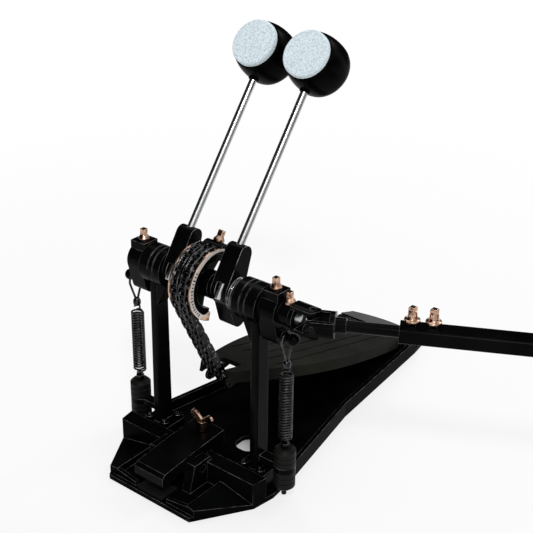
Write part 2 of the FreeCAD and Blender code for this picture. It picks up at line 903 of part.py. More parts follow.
def spring_rocker(x0):
    """Right-hand rocker: boss on the axle, bolt seat on top, stud for the spring link."""
    x1 = x0 + rocker_width
    boss = hull_x(0, axle_height, rocker_radius, 0, axle_height - stud_drop, stud_boss_radius, x0, x1)
    crown = box(x0, x1, -rocker_top_half, rocker_top_half, axle_height, axle_height + rocker_top)
    stud_z = axle_height - stud_drop
    tip = x1 + stud_length
    half = stud_ball_radius
    stud = round_x(stud_radius, x1 - stud_length, tip + loose_gap, 0, stud_z)
    ball = Part.makeSphere(half, V(tip + half / 2, 0, stud_z))
    ball = ball.cut(box(x1, tip, -half, half, stud_z - half, stud_z + half))
    body = fuse([boss, crown, stud, ball])
    return body.cut(Part.makeCompound([axle_hole(x0, x1), key_hole(rocker_bolt_seat(x0), Z_AXIS)]))


def rocker_bolt_seat(x0):
    """Where a right-hand rocker's key bolt stands."""
    return V(x0 + rocker_width / 2, 0, axle_height + rocker_top)


def spring_link(x):
    """Wire triangle on the stud, closed by the block that takes the spring."""
    bar_z = axle_height - stud_drop + stud_radius + loose_gap + link_wire
    block_top = spring_top + link_block_height
    low_half = link_block_half - link_wire
    corners = [
        V(x, -link_half_width, bar_z),
        V(x, link_half_width, bar_z),
        V(x, low_half, block_top - link_wire),
        V(x, -low_half, block_top - link_wire),
    ]
    half = link_block_half
    pieces = [box(x - half, x + half, -half, half, spring_top, block_top)]
    for start, end in zip(corners, corners[1:] + corners[:1]):
        pieces.append(bar_between(start, end, link_wire))
        pieces.append(Part.makeSphere(link_wire, start))
    return fuse(pieces)


def spring_anchor(x):
    """Threaded rod that carries a spring's lower end."""
    head = round_z(anchor_head_radius, spring_bottom - anchor_head_height, spring_bottom, x, 0)
    return fuse([head, round_z(anchor_radius, anchor_tip, spring_bottom - anchor_head_height, x, 0)])


def spring_knob(x):
    """Ribbed adjusting nuts above and below the lug, as two turned solids."""
    bore = round_z(anchor_radius + running_gap, knob_bottom, knob_top, x, 0)
    tip_radius = knob_radius - knob_taper
    seat = lug_top + loose_gap
    shoulder = knob_top - knob_taper
    upper = round_z(knob_radius, seat, shoulder, x, 0)
    crown = Part.makeCone(knob_radius, tip_radius, knob_taper, V(x, 0, shoulder))
    foot = lug_bottom - loose_gap
    waist = knob_bottom + knob_taper
    lower = round_z(knob_radius, waist, foot, x, 0)
    tail = Part.makeCone(tip_radius, knob_radius, knob_taper, V(x, 0, knob_bottom))
    grooves = []
    for low, high in ((seat, shoulder), (waist, foot)):
        for share in (1 / 3, 2 / 3):
            z0 = low + (high - low) * share - knob_groove / 2
            z1 = z0 + knob_groove
            ring = round_z(2 * knob_radius, z0, z1, x, 0)
            grooves.append(ring.cut(round_z(knob_radius - knob_groove, z0, z1, x, 0)))
    cuts = Part.makeCompound(grooves + [bore])
    return [fuse([upper, crown]).cut(cuts), fuse([lower, tail]).cut(cuts)]


def board_outline():
    """Closed plan of the footboard: narrow notched toe, flared middle, straight heel."""
    toe = -board_length
    right = [
        V(board_toe_half, toe, 0),
        V(board_neck_half, toe + board_neck, 0),
        V(board_flare_half, toe + board_flare, 0),
        V(board_full_half, toe + board_full, 0),
        V((board_full_half + board_heel_half) / 2 + board_bulge, toe + board_rear, 0),
        V(board_heel_half, -board_heel_gap, 0),
    ]
    left = [V(-p.x, p.y, 0) for p in reversed(right)]
    edges = [Part.makeLine(right[0], right[1]), Part.Arc(right[1], right[2], right[3]).toShape(),
             Part.Arc(right[3], right[4], right[5]).toShape(), Part.makeLine(right[5], left[0]),
             Part.Arc(left[0], left[1], left[2]).toShape(), Part.Arc(left[2], left[3], left[4]).toShape(),
             Part.makeLine(left[4], left[5]), Part.makeLine(left[5], right[0])]
    return Part.Wire(edges)


def on_slope(shape):
    """A footboard piece, made level about its hinge, set to its rest angle."""
    return shape.rotated(ORIGIN, X_AXIS, -math.degrees(board_slope)).translated(V(0, hinge_y, hinge_z))


def footboard():
    """Grooved board with a skirt, a notched toe and its hinge knuckle."""
    outline = board_outline()
    bottom = board_top - board_depth
    slab = Part.Face(outline).extrude(V(0, 0, board_depth)).translated(V(0, 0, bottom))
    inside = outline.makeOffset2D(-board_skirt)
    hollow = Part.Face(inside).extrude(V(0, 0, board_depth - board_skin)).translated(V(0, 0, bottom))
    knuckle = round_x(knuckle_radius, -knuckle_half, knuckle_half)
    tongue = box(-knuckle_half, knuckle_half, -2 * board_heel_gap, 0, board_top - board_skin, board_top)
    toe = -board_length
    toe_open = board_toe_half - board_skirt
    front = toe - side_gap
    groove_floor = board_top - board_groove_depth
    cuts = [box(-toe_notch_half, toe_notch_half, front, toe + toe_notch_depth, bottom, board_top),
            box(-toe_open, toe_open, front, toe + 2 * board_skirt, bottom, board_top - board_skin),
            round_x(hinge_pin_radius + running_gap, -knuckle_half, knuckle_half)]
    for row in range(-board_groove_sides, board_groove_sides + 1):
        x0 = row * board_groove_pitch - board_groove_width / 2
        x1 = x0 + board_groove_width
        cuts.append(box(x0, x1, toe + board_groove_from, -board_groove_to, groove_floor, board_top))
    body = fuse([slab.cut(hollow), knuckle, tongue])
    return on_slope(body.cut(Part.makeCompound(cuts)))


def toe_bracket():
    """Clevis under the toe: a plate on the board's underside and two ears round the chain's last pin."""
    along = -toe_pin_run
    up = -toe_pin_drop
    under = board_top - board_skin
    toe = -board_length
    reach = toe_notch_half + bracket_ear_thick
    start = toe + bracket_plate_from
    half = bracket_plate / 2
    plate = box(-reach, reach, start, toe + bracket_plate_to, under - bracket_plate, under)
    root = start + bracket_plate
    ears = []
    for x in (-reach, toe_notch_half):
        x1 = x + bracket_ear_thick
        ears.append(hull_x(along, up, bracket_ear_radius, root, under - half, half, x, x1))
    hole = round_x(pin_radius + bracket_slack, -2 * reach, 2 * reach, along, up)
    return on_slope(fuse([plate] + ears).cut(hole))


def heel_plate():
    """Heel block with its two hinge knuckles, round at the back."""
    front = hinge_y + heel_front_gap
    profile = [
        (front, base_thick),
        (front, heel_front_top),
        (heel_back, heel_back_top),
        (heel_back, base_thick),
    ]
    block = prism_x(profile, -heel_half, heel_half)
    right = V(heel_half, heel_round_y, 0)
    left = V(-heel_half, heel_round_y, 0)
    plan = Part.Wire([
        Part.makeLine(V(-heel_half, front, 0), V(heel_half, front, 0)),
        Part.makeLine(V(heel_half, front, 0), right),
        Part.Arc(right, V(0, heel_back, 0), left).toShape(),
        Part.makeLine(left, V(-heel_half, front, 0)),
    ])
    block = block.common(Part.Face(plan).extrude(V(0, 0, heel_front_top)))
    pieces = [block]
    inner = knuckle_half + side_gap / 2
    for x0, x1 in ((-hinge_half, -inner), (inner, hinge_half)):
        pieces.append(round_x(knuckle_radius, x0, x1, hinge_y, hinge_z))
        pieces.append(box(x0, x1, hinge_y, front, base_thick, hinge_z))
    bore = round_x(hinge_pin_radius, -hinge_half, hinge_half, hinge_y, hinge_z)
    return fuse(pieces).cut(bore)


def hinge_pin():
    """Heel hinge pin."""
    return round_x(hinge_pin_radius, -hinge_half, hinge_half, hinge_y, hinge_z)


def hoop_pad():
    """Rubber pad that the drum's hoop stands on."""
    top = base_thick + pad_thick
    return rounded_block(-pad_half, pad_half, pad_from, pad_to, pad_corner, base_thick, top)


def clamp_jaw():
    """Rocking jaw with its own pivot stubs, drilled for the wing screw."""
    outline = [
        (jaw_nose_y, jaw_gap_top),
        (pad_to - pad_thick, jaw_gap_top),
        (pad_to, jaw_gap_top + jaw_thick / 2),
        (jaw_pivot_y - jaw_thick, jaw_pivot_z - jaw_thick),
        (jaw_pivot_y + jaw_thick, jaw_pivot_z - jaw_thick),
        (jaw_pivot_y + 2 * jaw_thick, jaw_pivot_z),
        (jaw_rear_y, jaw_pivot_z),
        (jaw_rear_y, jaw_rear_top),
        (jaw_pivot_y, jaw_middle_top),
        (jaw_nose_y + jaw_thick / 2, jaw_front_top),
        (jaw_nose_y, jaw_front_top - jaw_thick / 2),
    ]
    reach = jaw_half + side_gap + cheek_thick
    stubs = round_x(jaw_pivot_radius, -reach, reach, jaw_pivot_y, jaw_pivot_z)
    hole = round_z(wing_shank_radius + running_gap, 0, wing_hub_to, 0, screw_axis_y)
    return fuse([prism_x(outline, -jaw_half, jaw_half), stubs]).cut(hole)


def wing_screw():
    """Clamping screw with two wings."""
    shank = round_z(wing_shank_radius, wing_tip, wing_hub_from, 0, screw_axis_y)
    hub = round_z(wing_hub_radius, wing_hub_from, wing_hub_to, 0, screw_axis_y)
    middle = (wing_hub_from + wing_hub_to) / 2
    half = wing_thick / 2
    wing = hull_x(0, middle, wing_radius, wing_reach, middle + wing_rise, wing_radius, -half, half)
    pieces = [shank, hub]
    for turn in (90, -90):
        pieces.append(wing.rotated(ORIGIN, Z_AXIS, turn).translated(V(0, screw_axis_y, 0)))
    return fuse(pieces)


def clamp_spring():
    """Coil on the wing screw, between the base and the jaw's rear end."""
    return coil("clamp spring", 0, screw_axis_y, base_thick, jaw_pivot_z - loose_gap, clamp_spring_mean,
                clamp_spring_wire, clamp_spring_turns, clamp_spring_lead, clamp_spring_mean)


def fork(pin_hole):
    """Universal-joint fork about the origin: ears on both sides in Y, hub towards +X."""
    pieces = [round_x(fork_hub_radius, joint_reach, joint_reach + fork_hub_length)]
    for y in (-fork_gap - fork_ear, fork_gap):
        pieces.append(box(0, joint_reach + fork_hub_length, y, y + fork_ear, -fork_radius, fork_radius))
        pieces.append(Part.makeCylinder(fork_radius, fork_ear, V(0, y, 0), Y_AXIS))
    reach = fork_gap + fork_ear
    trim = round_x(math.hypot(reach, fork_radius / 2), -fork_radius, joint_reach + fork_hub_length)
    hole = Part.makeCylinder(pin_hole, 2 * reach, V(0, -reach, 0), Y_AXIS)
    return fuse(pieces).common(trim).cut(hole)


def upright_fork():
    """Fork whose ears are above and below the axle, a running fit on the cross."""
    return fork(cross_pin_radius + running_gap).rotated(ORIGIN, X_AXIS, 90)


def on_shaft(shape, at=joint_inner):
    """A piece made along +X, turned to the drive shaft's line."""
    return shape.rotated(ORIGIN, Z_AXIS, shaft_bend_deg).translated(at)


def joint_cross(at):
    """Cross of a universal joint: block, upright pin and level pin."""
    block = box(-cross_half, cross_half, -cross_half, cross_half, -cross_half, cross_half)
    upright = round_z(cross_pin_radius, -cross_pin_reach, cross_pin_reach)
    level = Part.makeCylinder(cross_pin_radius, 2 * cross_pin_reach, V(0, -cross_pin_reach, 0), Y_AXIS)
    return on_shaft(fuse([block, upright, level]), at)


def inner_yoke():
    """Yoke on the right axle, with its sleeve and bolt hole."""
    forked = upright_fork().rotated(ORIGIN, Z_AXIS, 180).translated(joint_inner)
    sleeve = round_x(yoke_sleeve_radius, yoke_start, yoke_face, 0, axle_height)
    return fuse([forked, sleeve]).cut(Part.makeCompound([
        axle_hole(yoke_start, yoke_face),
        key_hole(yoke_bolt_seat(), Z_AXIS, key_short_shank + loose_gap),
    ]))


def yoke_bolt_seat():
    """Where the inner yoke's key bolt stands."""
    return V(yoke_start + key_flange_radius, 0, axle_height + yoke_sleeve_radius)


def shaft_bar():
    """Round bar of the drive shaft with its own fork."""
    collar = round_x(shaft_collar_radius, joint_reach + fork_hub_length, shaft_collar_end)
    bar = round_x(bar_radius, shaft_collar_end, bar_end)
    return on_shaft(fuse([fork(cross_pin_radius + open_pivot_gap), collar, bar]))


def tube_bolt_seats():
    """Along-shaft places of the tube's two locking bolts."""
    first = tube_start + tube_bolt_first
    return [V(first, 0, tube_height / 2), V(first + tube_bolt_pitch, 0, tube_height / 2)]


def shaft_tube():
    """Flat tube that slides on the bar, with the fork forged on its far end."""
    half = tube_width / 2
    wire = rounded_wire(-tube_height / 2, tube_height / 2, -half, half, tube_edge, 0)
    body = Part.Face(wire).extrude(V(0, 0, tube_end - tube_start))
    body = body.rotated(ORIGIN, Y_AXIS, 90).translated(V(tube_start, 0, 0))
    cuts = [round_x(bar_radius + 2 * running_gap, tube_start, tube_end - tube_plug)]
    cuts += [key_hole(seat, Z_AXIS, tube_height / 2) for seat in tube_bolt_seats()]
    neck = round_x(shaft_collar_radius, tube_end, tube_end + tube_neck_length)
    forked = fork(cross_pin_radius + open_pivot_gap).rotated(ORIGIN, Z_AXIS, 180)
    forked = forked.translated(V(shaft_length, 0, 0))
    return on_shaft(fuse([body.cut(Part.makeCompound(cuts)), neck, forked]))


def tube_bolts():
    """The two locking bolts, short of the bar."""
    trim = round_x(bar_radius + loose_gap, tube_start, tube_end)
    return [on_shaft(key_bolt(seat, Z_AXIS).cut(trim)) for seat in tube_bolt_seats()]


def primary_axle():
    """Left axle, bored at its inner end for the right axle's spigot."""
    bar = axle_hole(-left_rocker - rocker_width, axle_split_x)
    bore = axle_hole(axle_split_x - spigot_length, axle_split_x, spigot_radius + running_gap)
    return bar.cut(bore)


def secondary_axle():
    """Right axle with its spigot."""
    start = axle_split_x + side_gap / 2
    spigot = axle_hole(axle_split_x - spigot_length + side_gap, start, spigot_radius)
    bar = axle_hole(start, yoke_face)
    return fuse([spigot, bar])


def axle_collar():
    """Bright ribbed collar on the right axle, beside the beater hub."""
    x1 = hub_face + collar_width
    first = hub_face + collar_groove_first
    grooves = []
    for x in (first, first + collar_groove_pitch):
        grooves.append(axle_ring(collar_radius - collar_groove, collar_radius, x, x + collar_groove))
    return axle_ring(axle_radius, collar_radius, hub_face, x1).cut(Part.makeCompound(grooves))


def second_axle():
    """Second pedal's axle with its forged joint yoke."""
    x0 = joint_outer.x + joint_reach
    x1 = second_x + second_outer + side_gap
    bar = Part.makeCylinder(axle_radius, x1 - x0, V(x0, second_y, axle_height), X_AXIS)
    return fuse([upright_fork().translated(joint_outer), bar])


def second_base():
    """Second pedal's floor plate with its rails."""
    steps = [
        (second_wide_half, second_front),
        (second_wide_half, base_waist_y),
        (second_waist_half, base_middle_y),
        (base_heel_half, base_heel_y),
        (base_back_half, base_back),
    ]
    plate = prism(base_outline(steps), V(0, 0, base_thick))
    rail = side_rail(steps[1:4])
    holes = foot_holes(second_outer).Solids
    holes += mirrored(foot_holes(second_outer)).Solids
    return fuse([plate, rail, mirrored(rail)]).cut(Part.makeCompound(holes))


def foot_screws(outer, side):
    """Screws of one post's foot, on either side."""
    return [socket_screw(side * x, y, base_thick + foot_thick) for x, y in foot_places(outer)]


def save(name, *shapes):
    """Write one node from its separate solids."""
    solids = [solid for shape in shapes for solid in shape.Solids]
    shape = solids[0] if len(solids) == 1 else Part.makeCompound(solids)
    if not shape.isValid():
        print("invalid", name)
    shape.exportStep("parts/" + name + ".step")


def save_second(name, *shapes):
    """Write one node of the second pedal, moved to its place."""
    save("second_" + name, *[shape.translated(second_move) for shape in shapes])


def make_primary_frame():
    """Base, posts, bearings, heel and the hoop clamp."""
    save("base_plate", base_plate())
    save("heel_plate", heel_plate())
    save("heel_hinge_pin", hinge_pin())
    save("post_left", mirrored(post(left_inner, left_outer, -left_spring_x)))
    save("post_right", post(right_inner, right_outer, right_spring_x))
    left_rings = [mirrored(ring) for ring in bearings(left_inner, left_outer)]
    save("axle_bearings", *left_rings, *bearings(right_inner, right_outer))
    save("post_screws", *foot_screws(left_outer, -1), *foot_screws(right_outer, 1))
    save("hoop_pad", hoop_pad())
    save("hoop_clamp_jaw", clamp_jaw())
    save("clamp_wing_screw", wing_screw())
    save("clamp_spring", clamp_spring())


def make_springs():
    """Anchors, knobs, coil springs and their wire links."""
    save("spring_anchors", spring_anchor(left_spring_x), spring_anchor(right_spring_x))
    for side, x in (("left", left_spring_x), ("right", right_spring_x)):
        save("spring_knob_" + side, *spring_knob(x))
        save("spring_link_" + side, spring_link(x))
        save("spring_" + side, coil("spring " + side, x, 0, spring_bottom, spring_top, spring_mean_radius,
                                    spring_wire, spring_turns, spring_lead, 0))


def make_primary_axle():
    """Everything that turns with the left axle."""
    seat, way = dome_top()
    left_seat = rocker_bolt_seat(left_rocker)
    save("primary_axle", primary_axle())
    save("chain_cam", chain_cam())
    save("cam_flanges", *cam_flanges())
    save("chain_clamp", chain_clamp())
    save("chain_wrap", chain_run(wrap_links, 1))
    save("beater_hub_left", beater_hub(-hub_x))
    save("beater_rod_left", beater_rod(-hub_x))
    save("beater_head_left", beater_head(-hub_x))
    save("beater_felt_left", beater_felt(-hub_x))
    save("spring_rocker_left", mirrored(spring_rocker(left_rocker)))
    save("key_bolts_left", mirrored(key_bolt(left_seat, Z_AXIS)), key_bolt(seat, way))


def make_secondary_axle():
    """Everything that turns with the right axle."""
    save("secondary_axle", secondary_axle())
    save("axle_collar", axle_collar())
    save("beater_hub_right", beater_hub(hub_x))
    save("beater_rod_right", beater_rod(hub_x))
    save("beater_head_right", beater_head(hub_x))
    save("beater_felt_right", beater_felt(hub_x))
    save("spring_rocker_right", spring_rocker(right_rocker))
    save("joint_yoke_inner", inner_yoke())
    yoke_bolt = key_bolt(yoke_bolt_seat(), Z_AXIS, key_short_shank)
    save("key_bolts_right", key_bolt(rocker_bolt_seat(right_rocker), Z_AXIS), yoke_bolt)


def make_primary_board():
    """Footboard, toe bracket and the moving chain."""
    save("footboard", footboard())
    save("toe_bracket", toe_bracket())
    save("chain_link_lower", chain_run(1, 0))
    save("chain_span", chain_span())


def make_drive_shaft():
    """Universal joints, bar and tube."""
    save("joint_cross_inner", joint_cross(joint_inner))
    save("shaft_bar", shaft_bar())
    save("shaft_tube", shaft_tube())
    save("shaft_key_bolts", *tube_bolts())
    save("joint_cross_outer", joint_cross(joint_outer))


def make_second_pedal():
    """The second pedal, from the same cam, chain, footboard and heel."""
    seat, way = dome_top()
    right_post = post(second_inner, second_outer, None)
    rings = bearings(second_inner, second_outer)
    save_second("base_plate", second_base())
    save_second("heel_plate", heel_plate())
    save_second("posts", mirrored(right_post), right_post)
    save_second("bearings", *[mirrored(ring) for ring in rings], *rings)
    save_second("fasteners", hinge_pin(), *foot_screws(second_outer, -1), *foot_screws(second_outer, 1))
    save("second_axle", second_axle())
    save_second("cam", chain_cam(), chain_clamp())
    save_second("cam_trim", *cam_flanges(), key_bolt(seat, way))
    save_second("chain_wrap", chain_run(wrap_links, 1))
    save_second("footboard", footboard())
    save_second("toe_bracket", toe_bracket())
    save_second("chain_link", chain_run(1, 0))
    save_second("chain_span", chain_span())


os.makedirs("parts", exist_ok=True)
make_primary_frame()
make_springs()
make_primary_axle()
make_secondary_axle()
make_primary_board()
make_drive_shaft()
make_second_pedal()
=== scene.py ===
"""Double bass drum pedal: finishes, springs, felts and rubber on the fixed frame, with a studio stage."""
import json
import math

import bpy
from mathutils import Matrix, Vector, noise


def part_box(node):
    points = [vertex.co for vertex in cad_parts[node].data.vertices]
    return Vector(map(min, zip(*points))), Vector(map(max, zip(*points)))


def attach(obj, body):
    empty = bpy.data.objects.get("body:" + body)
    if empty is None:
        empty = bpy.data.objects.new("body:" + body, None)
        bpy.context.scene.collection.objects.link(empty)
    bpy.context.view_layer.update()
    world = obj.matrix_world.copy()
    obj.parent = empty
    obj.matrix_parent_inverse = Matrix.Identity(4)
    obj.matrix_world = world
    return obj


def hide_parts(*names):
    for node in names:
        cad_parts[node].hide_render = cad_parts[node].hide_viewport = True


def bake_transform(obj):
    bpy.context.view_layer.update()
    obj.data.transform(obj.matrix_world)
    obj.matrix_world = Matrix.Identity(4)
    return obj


bl_info = {
    "name": "Double bass drum pedal",
    "version": (1, 0, 0),
    "blender": (4, 5, 0),
    "location": "3D View > Sidebar > Pedal",
    "description": "Dresses the pedal's fixed frame with finishes, springs, felts and a studio stage",
    "category": "Object",
}

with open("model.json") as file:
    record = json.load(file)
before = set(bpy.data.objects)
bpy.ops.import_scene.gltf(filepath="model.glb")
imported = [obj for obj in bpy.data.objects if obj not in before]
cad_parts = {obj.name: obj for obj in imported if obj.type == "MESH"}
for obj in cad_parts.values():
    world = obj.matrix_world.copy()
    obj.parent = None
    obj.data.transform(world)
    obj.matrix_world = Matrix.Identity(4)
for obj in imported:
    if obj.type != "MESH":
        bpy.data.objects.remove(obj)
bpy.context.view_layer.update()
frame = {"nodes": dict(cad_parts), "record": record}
UP = Vector((0, 0, 1))
SIDES = ("left", "right")
CORNERS = ((-1, -1), (1, -1), (1, 1), (-1, 1))
SOFT_BEVEL = 0.0003

# Spans, shares and lengths of the shared effects
EDGE_RADIUS = 0.0008
EDGE_TURN = (0.995, 0.80)
# The patches and the upward tilt below shape both the edge wear and the painted edge highlight
WEAR_AND_GLINT_PATCHES = (0.30, 0.62)
UPWARD_GLINT_TILT = (-0.45, 0.55)
MOTTLE_SPAN = (0.38, 0.66)
SIDE_TURN = (0.80, 0.95)
FOOT_BLEND = (0.0, 0.002)
PALE_SHARE = 0.85
RELIEF_DEPTH = 0.0002

# Scale and height of the felts' fluff
FLUFF = ((420, 0.00022), (1500, 0.00010))
# Share of the way from the felt to a head's back, and share of the swell there
HEAD_BELLY = ((0.02, 0.06), (0.08, 0.30), (0.18, 0.58), (0.30, 0.82), (0.42, 0.95), (0.54, 1.0),
              (0.64, 0.98))
# The same way, and share of the full radius on the rounded back
HEAD_DOME = ((0.74, 0.985), (0.82, 0.95), (0.885, 0.88), (0.935, 0.77), (0.97, 0.60), (0.99, 0.36))
# Inset of a head's front edge, where a rod's boss starts inside the head, and how far its shoulder and
# its narrower tip stand proud
HEAD_INSET = 0.0004
BOSS_START = 0.8
BOSS_RISE = (0.0006, 0.0014)
BOSS_TIP = 0.86
# Chamfer of a rod's ends as a share of its radius
ROD_CHAMFER = 0.15
# Height of a wire loop's foot in its sleeve, and the length of wire below it
LINK_FOOT = 0.007
LINK_TAIL = 0.002
# Share of the sleeve's radius, and height above the sleeve's lower end
LINK_SLEEVE = ((0.55, 0), (0.8, 0.0006), (0.95, 0.0022), (1, 0.0040), (0.92, 0.0060), (0.7, 0.0078),
               (0.5, 0.0084))
# Shares of a bell bolt's radius and height
BELL = ((0.92, 0), (1, 0.03), (1, 0.09), (0.95, 0.13), (0.80, 0.16), (0.70, 0.22), (0.60, 0.30),
        (0.58, 0.52), (0.56, 0.64), (0.50, 0.72), (0.42, 0.74))
# Half width and foot of its square drive as shares of that radius and height, and the drive's chamfer
DRIVE_HALF = 0.40
DRIVE_FOOT = 0.70
DRIVE_CHAMFER = 0.18
# Faces that meet at more degrees than this keep a crisp edge
CRISP_ANGLE = 32
# Uneven pitch of the clamp spring, and depth of the pad's ribs as a share of its height
CLAMP_EASE = 0.06
RIB_DEPTH = 0.28
# Where a flange starts to taper and what share of its width it loses by its top
# The middle and the reach of its hook, as shares of its length
TAPER_START = 0.62
TAPER_LOSS = 0.78
HOOK_MIDDLE = 0.02
HOOK_REACH = 0.040
# Every so many ticks one is long, and the others' share of its length
LONG_TICK = 3
SHORT_TICK = 0.6

# White share of the floor near the pedal, and the distances from the base over which it grows
# Distances from the middle of the base's opening over which that white sets in
NEAR_WHITE = 0.7
WHITE_REACH = (0.35, 1.0)
OPENING_EDGE = (0.030, 0.045)
# Strength of the surround as a light, and roughness of the floor and cards
SKY_LIGHT = 0.55
STAGE_ROUGH = 0.9
# Name, place, target, size and power
LAMPS = (
    ("key lamp", (1.0, -1.0, 1.75), (0.05, 0.05, 0.15), 0.25, 15),
    ("fill lamp", (-0.9, 0.7, 2.0), (0.05, 0.05, 0.12), 0.9, 8),
    ("back lamp", (0.4, 1.7, 1.5), (0.05, 0.1, 0.15), 0.8, 8),
)
# Name, corners seen from above, height and tone
CARDS = (
    ("dark_card", ((0.10, -2.3), (-1.7, -1.7), (-2.3, 0.0), (-1.9, 2.0), (-0.5, 2.9), (1.1, 2.8)), 4.2,
     (0.040, 0.032, 0.026)),
    ("grey_card", ((2.2, -0.1), (2.3, 1.2), (1.6, 2.4)), 0.8, (0.06, 0.06, 0.07)),
)


def colour(name, words, default):
    """A colour that a user would change."""
    return bpy.props.FloatVectorProperty(
        name=name, description=words, default=default, size=3, subtype="COLOR", min=0, max=1)


def length(name, words, default):
    """A length in metres that a user would change."""
    return bpy.props.FloatProperty(
        name=name, description=words, default=default, min=0, unit="LENGTH", precision=5)


def angle(name, words, degrees):
    """An angle that a user would change."""
    return bpy.props.FloatProperty(
        name=name, description=words, default=math.radians(degrees), subtype="ANGLE")


class PedalColours(bpy.types.PropertyGroup):
    """Colours of the pedal's finishes."""

    paint: colour("Gloss paint", "Black paint on castings and posts", (0.0010, 0.0010, 0.0012))
    paint_haze: colour("Paint haze", "Slightly lighter drifts in the paint", (0.0026, 0.0028, 0.0030))
    # Painted highlight along the paint's edges, brighter where they face up, with some edge wear
    paint_edge_wear_glint: colour("Paint edges", "Where the paint thins along edges", (0.34, 0.34, 0.35))
    board: colour("Footboard", "Satin grey coat on the footboards", (0.0066, 0.0068, 0.0053))
    board_haze: colour("Footboard haze", "Lighter drifts on the footboards", (0.0140, 0.0142, 0.0112))
    # Lighter footboard edges: partly rubbed wear, partly a painted highlight on edges that face up
    board_edge_wear_glint: colour("Footboard edges", "Rubbed edges of the footboards", (0.040, 0.041, 0.037))
    chrome: colour("Chrome", "Bright plate on rods and axles", (0.48, 0.49, 0.50))
    chrome_haze: colour("Chrome haze", "Duller drifts on the bright plate", (0.38, 0.39, 0.40))
    steel: colour("Black steel", "Blackened steel of chains and links", (0.0065, 0.0066, 0.0072))
    steel_haze: colour("Steel haze", "Lighter drifts on the blackened steel", (0.0160, 0.0162, 0.0172))
    # Bright corners of the blackened steel: a painted highlight, partly also wear
    steel_edge_wear_glint: colour("Steel edges", "Bright wear on the blackened steel", (0.46, 0.46, 0.48))
    spring: colour("Spring wire", "Blackened wire of the return springs", (0.060, 0.060, 0.063))
    copper: colour("Copper", "Rose copper plate on bolts, flanges and wing screw", (0.70, 0.45, 0.32))
    copper_haze: colour("Copper haze", "Darker drifts on the copper plate", (0.20, 0.11, 0.072))
    # Pale copper edges: partly polish, partly a painted highlight on edges that face up
    copper_edge_wear_glint: colour("Copper edges", "Polished edges of the copper plate", (0.92, 0.74, 0.62))
    flange: colour("Flange face", "Pale brushed faces of the cam's flanges", (0.74, 0.68, 0.63))
    collar: colour("Collar", "Dark brushed plate of the axle collar", (0.13, 0.13, 0.135))
    # Painted highlight on the collar's ribs and along the hubs' edges
    collar_edge_glint: colour("Collar edges", "Bright ribs of the axle collar", (0.80, 0.81, 0.82))
    # Lighter knob, head and pad edges: partly rubbed wear, partly a painted highlight on edges that face up
    knob: colour("Knob", "Matte dark grey of the spring knobs", (0.0046, 0.0052, 0.0052))
    knob_edge_wear_glint: colour("Knob edges", "Rubbed edges of the spring knobs", (0.055, 0.058, 0.058))
    base: colour("Base coat", "Black powder coat on the base plates", (0.0008, 0.0008, 0.0009))
    head: colour("Beater head", "Smooth black plastic of the beater heads", (0.0006, 0.0006, 0.0007))
    felt: colour("Felt", "White pressed felt", (0.80, 0.90, 0.95))
    felt_shade: colour("Felt shade", "Darker fibres in the felt", (0.52, 0.61, 0.66))
    rubber: colour("Rubber", "Black rubber of the hoop pad", (0.0040, 0.0040, 0.0040))
    floor: colour("Floor", "Pale studio floor", (0.92, 0.92, 0.92))


class PedalSizes(bpy.types.PropertyGroup):
    """Sizes of the pieces that are made here."""

    spring_wire: length("Spring wire", "Radius of the return springs' wire", 0.0010)
    spring_mean: length("Spring radius", "Mean radius of the return springs", 0.00575)
    spring_hook: length("Spring hook", "Radius of the return springs' end loops", 0.0036)
    spring_low: length("Coil start", "Height where a return spring's coils start", 0.0705)
    spring_high: length("Coil end", "Height where a return spring's coils end", 0.1375)
    clamp_wire: length("Clamp spring wire", "Radius of the clamp spring's wire", 0.0009)
    clamp_mean: length("Clamp spring radius", "Mean radius of the clamp spring", 0.0080)
    felt_depth: length("Felt depth", "Thickness of a beater felt", 0.006)
    felt_rim: length("Felt rim", "Rounding of a felt's front rim", 0.0022)
    felt_crown: length("Felt crown", "How far a felt's face stands proud in the middle", 0.0006)
    lean: angle("Beater lean", "How far the beaters lean back at rest", 37)
    head_depth: length("Head depth", "Depth of a beater head behind its felt", 0.041)
    head_swell: length("Head swell", "How far a beater head swells out in the middle", 0.0040)
    boss_radius: length("Rod boss", "Radius of the boss where a rod enters its head", 0.0052)
    link_wire: length("Link wire", "Radius of the wire loops on the spring studs", 0.00115)
    link_half: length("Link half width", "Half the width of a wire loop at its stud", 0.0085)
    bell_radius: length("Bell bolt radius", "Radius of the flange on the tube's bolts", 0.0070)
    bell_height: length("Bell bolt height", "Height of the bolts on the tube", 0.0130)
    flange_wide: length("Flange width", "Width of a cam flange in the middle", 0.0052)
    flange_hook: length("Flange hook", "How far a cam flange hooks inwards at its foot", 0.0040)
    flange_foot: length("Flange foot", "Height of the copper foot of a cam flange", 0.006)
    tick_length: length("Tick length", "Length of a tick on the cam's right flange", 0.0032)
    tick_width: length("Tick width", "Width of a tick on the cam's right flange", 0.0012)
    tick_proud: length("Tick height", "How far a tick stands off the flange", 0.00015)
    tick_radius: length("Tick circle", "Radius of the circle through the ticks", 0.0318)
    tick_start: angle("First tick", "Angle of the lowest tick", -44)
    tick_sweep: angle("Tick sweep", "Angle from the first tick to the last", 84)


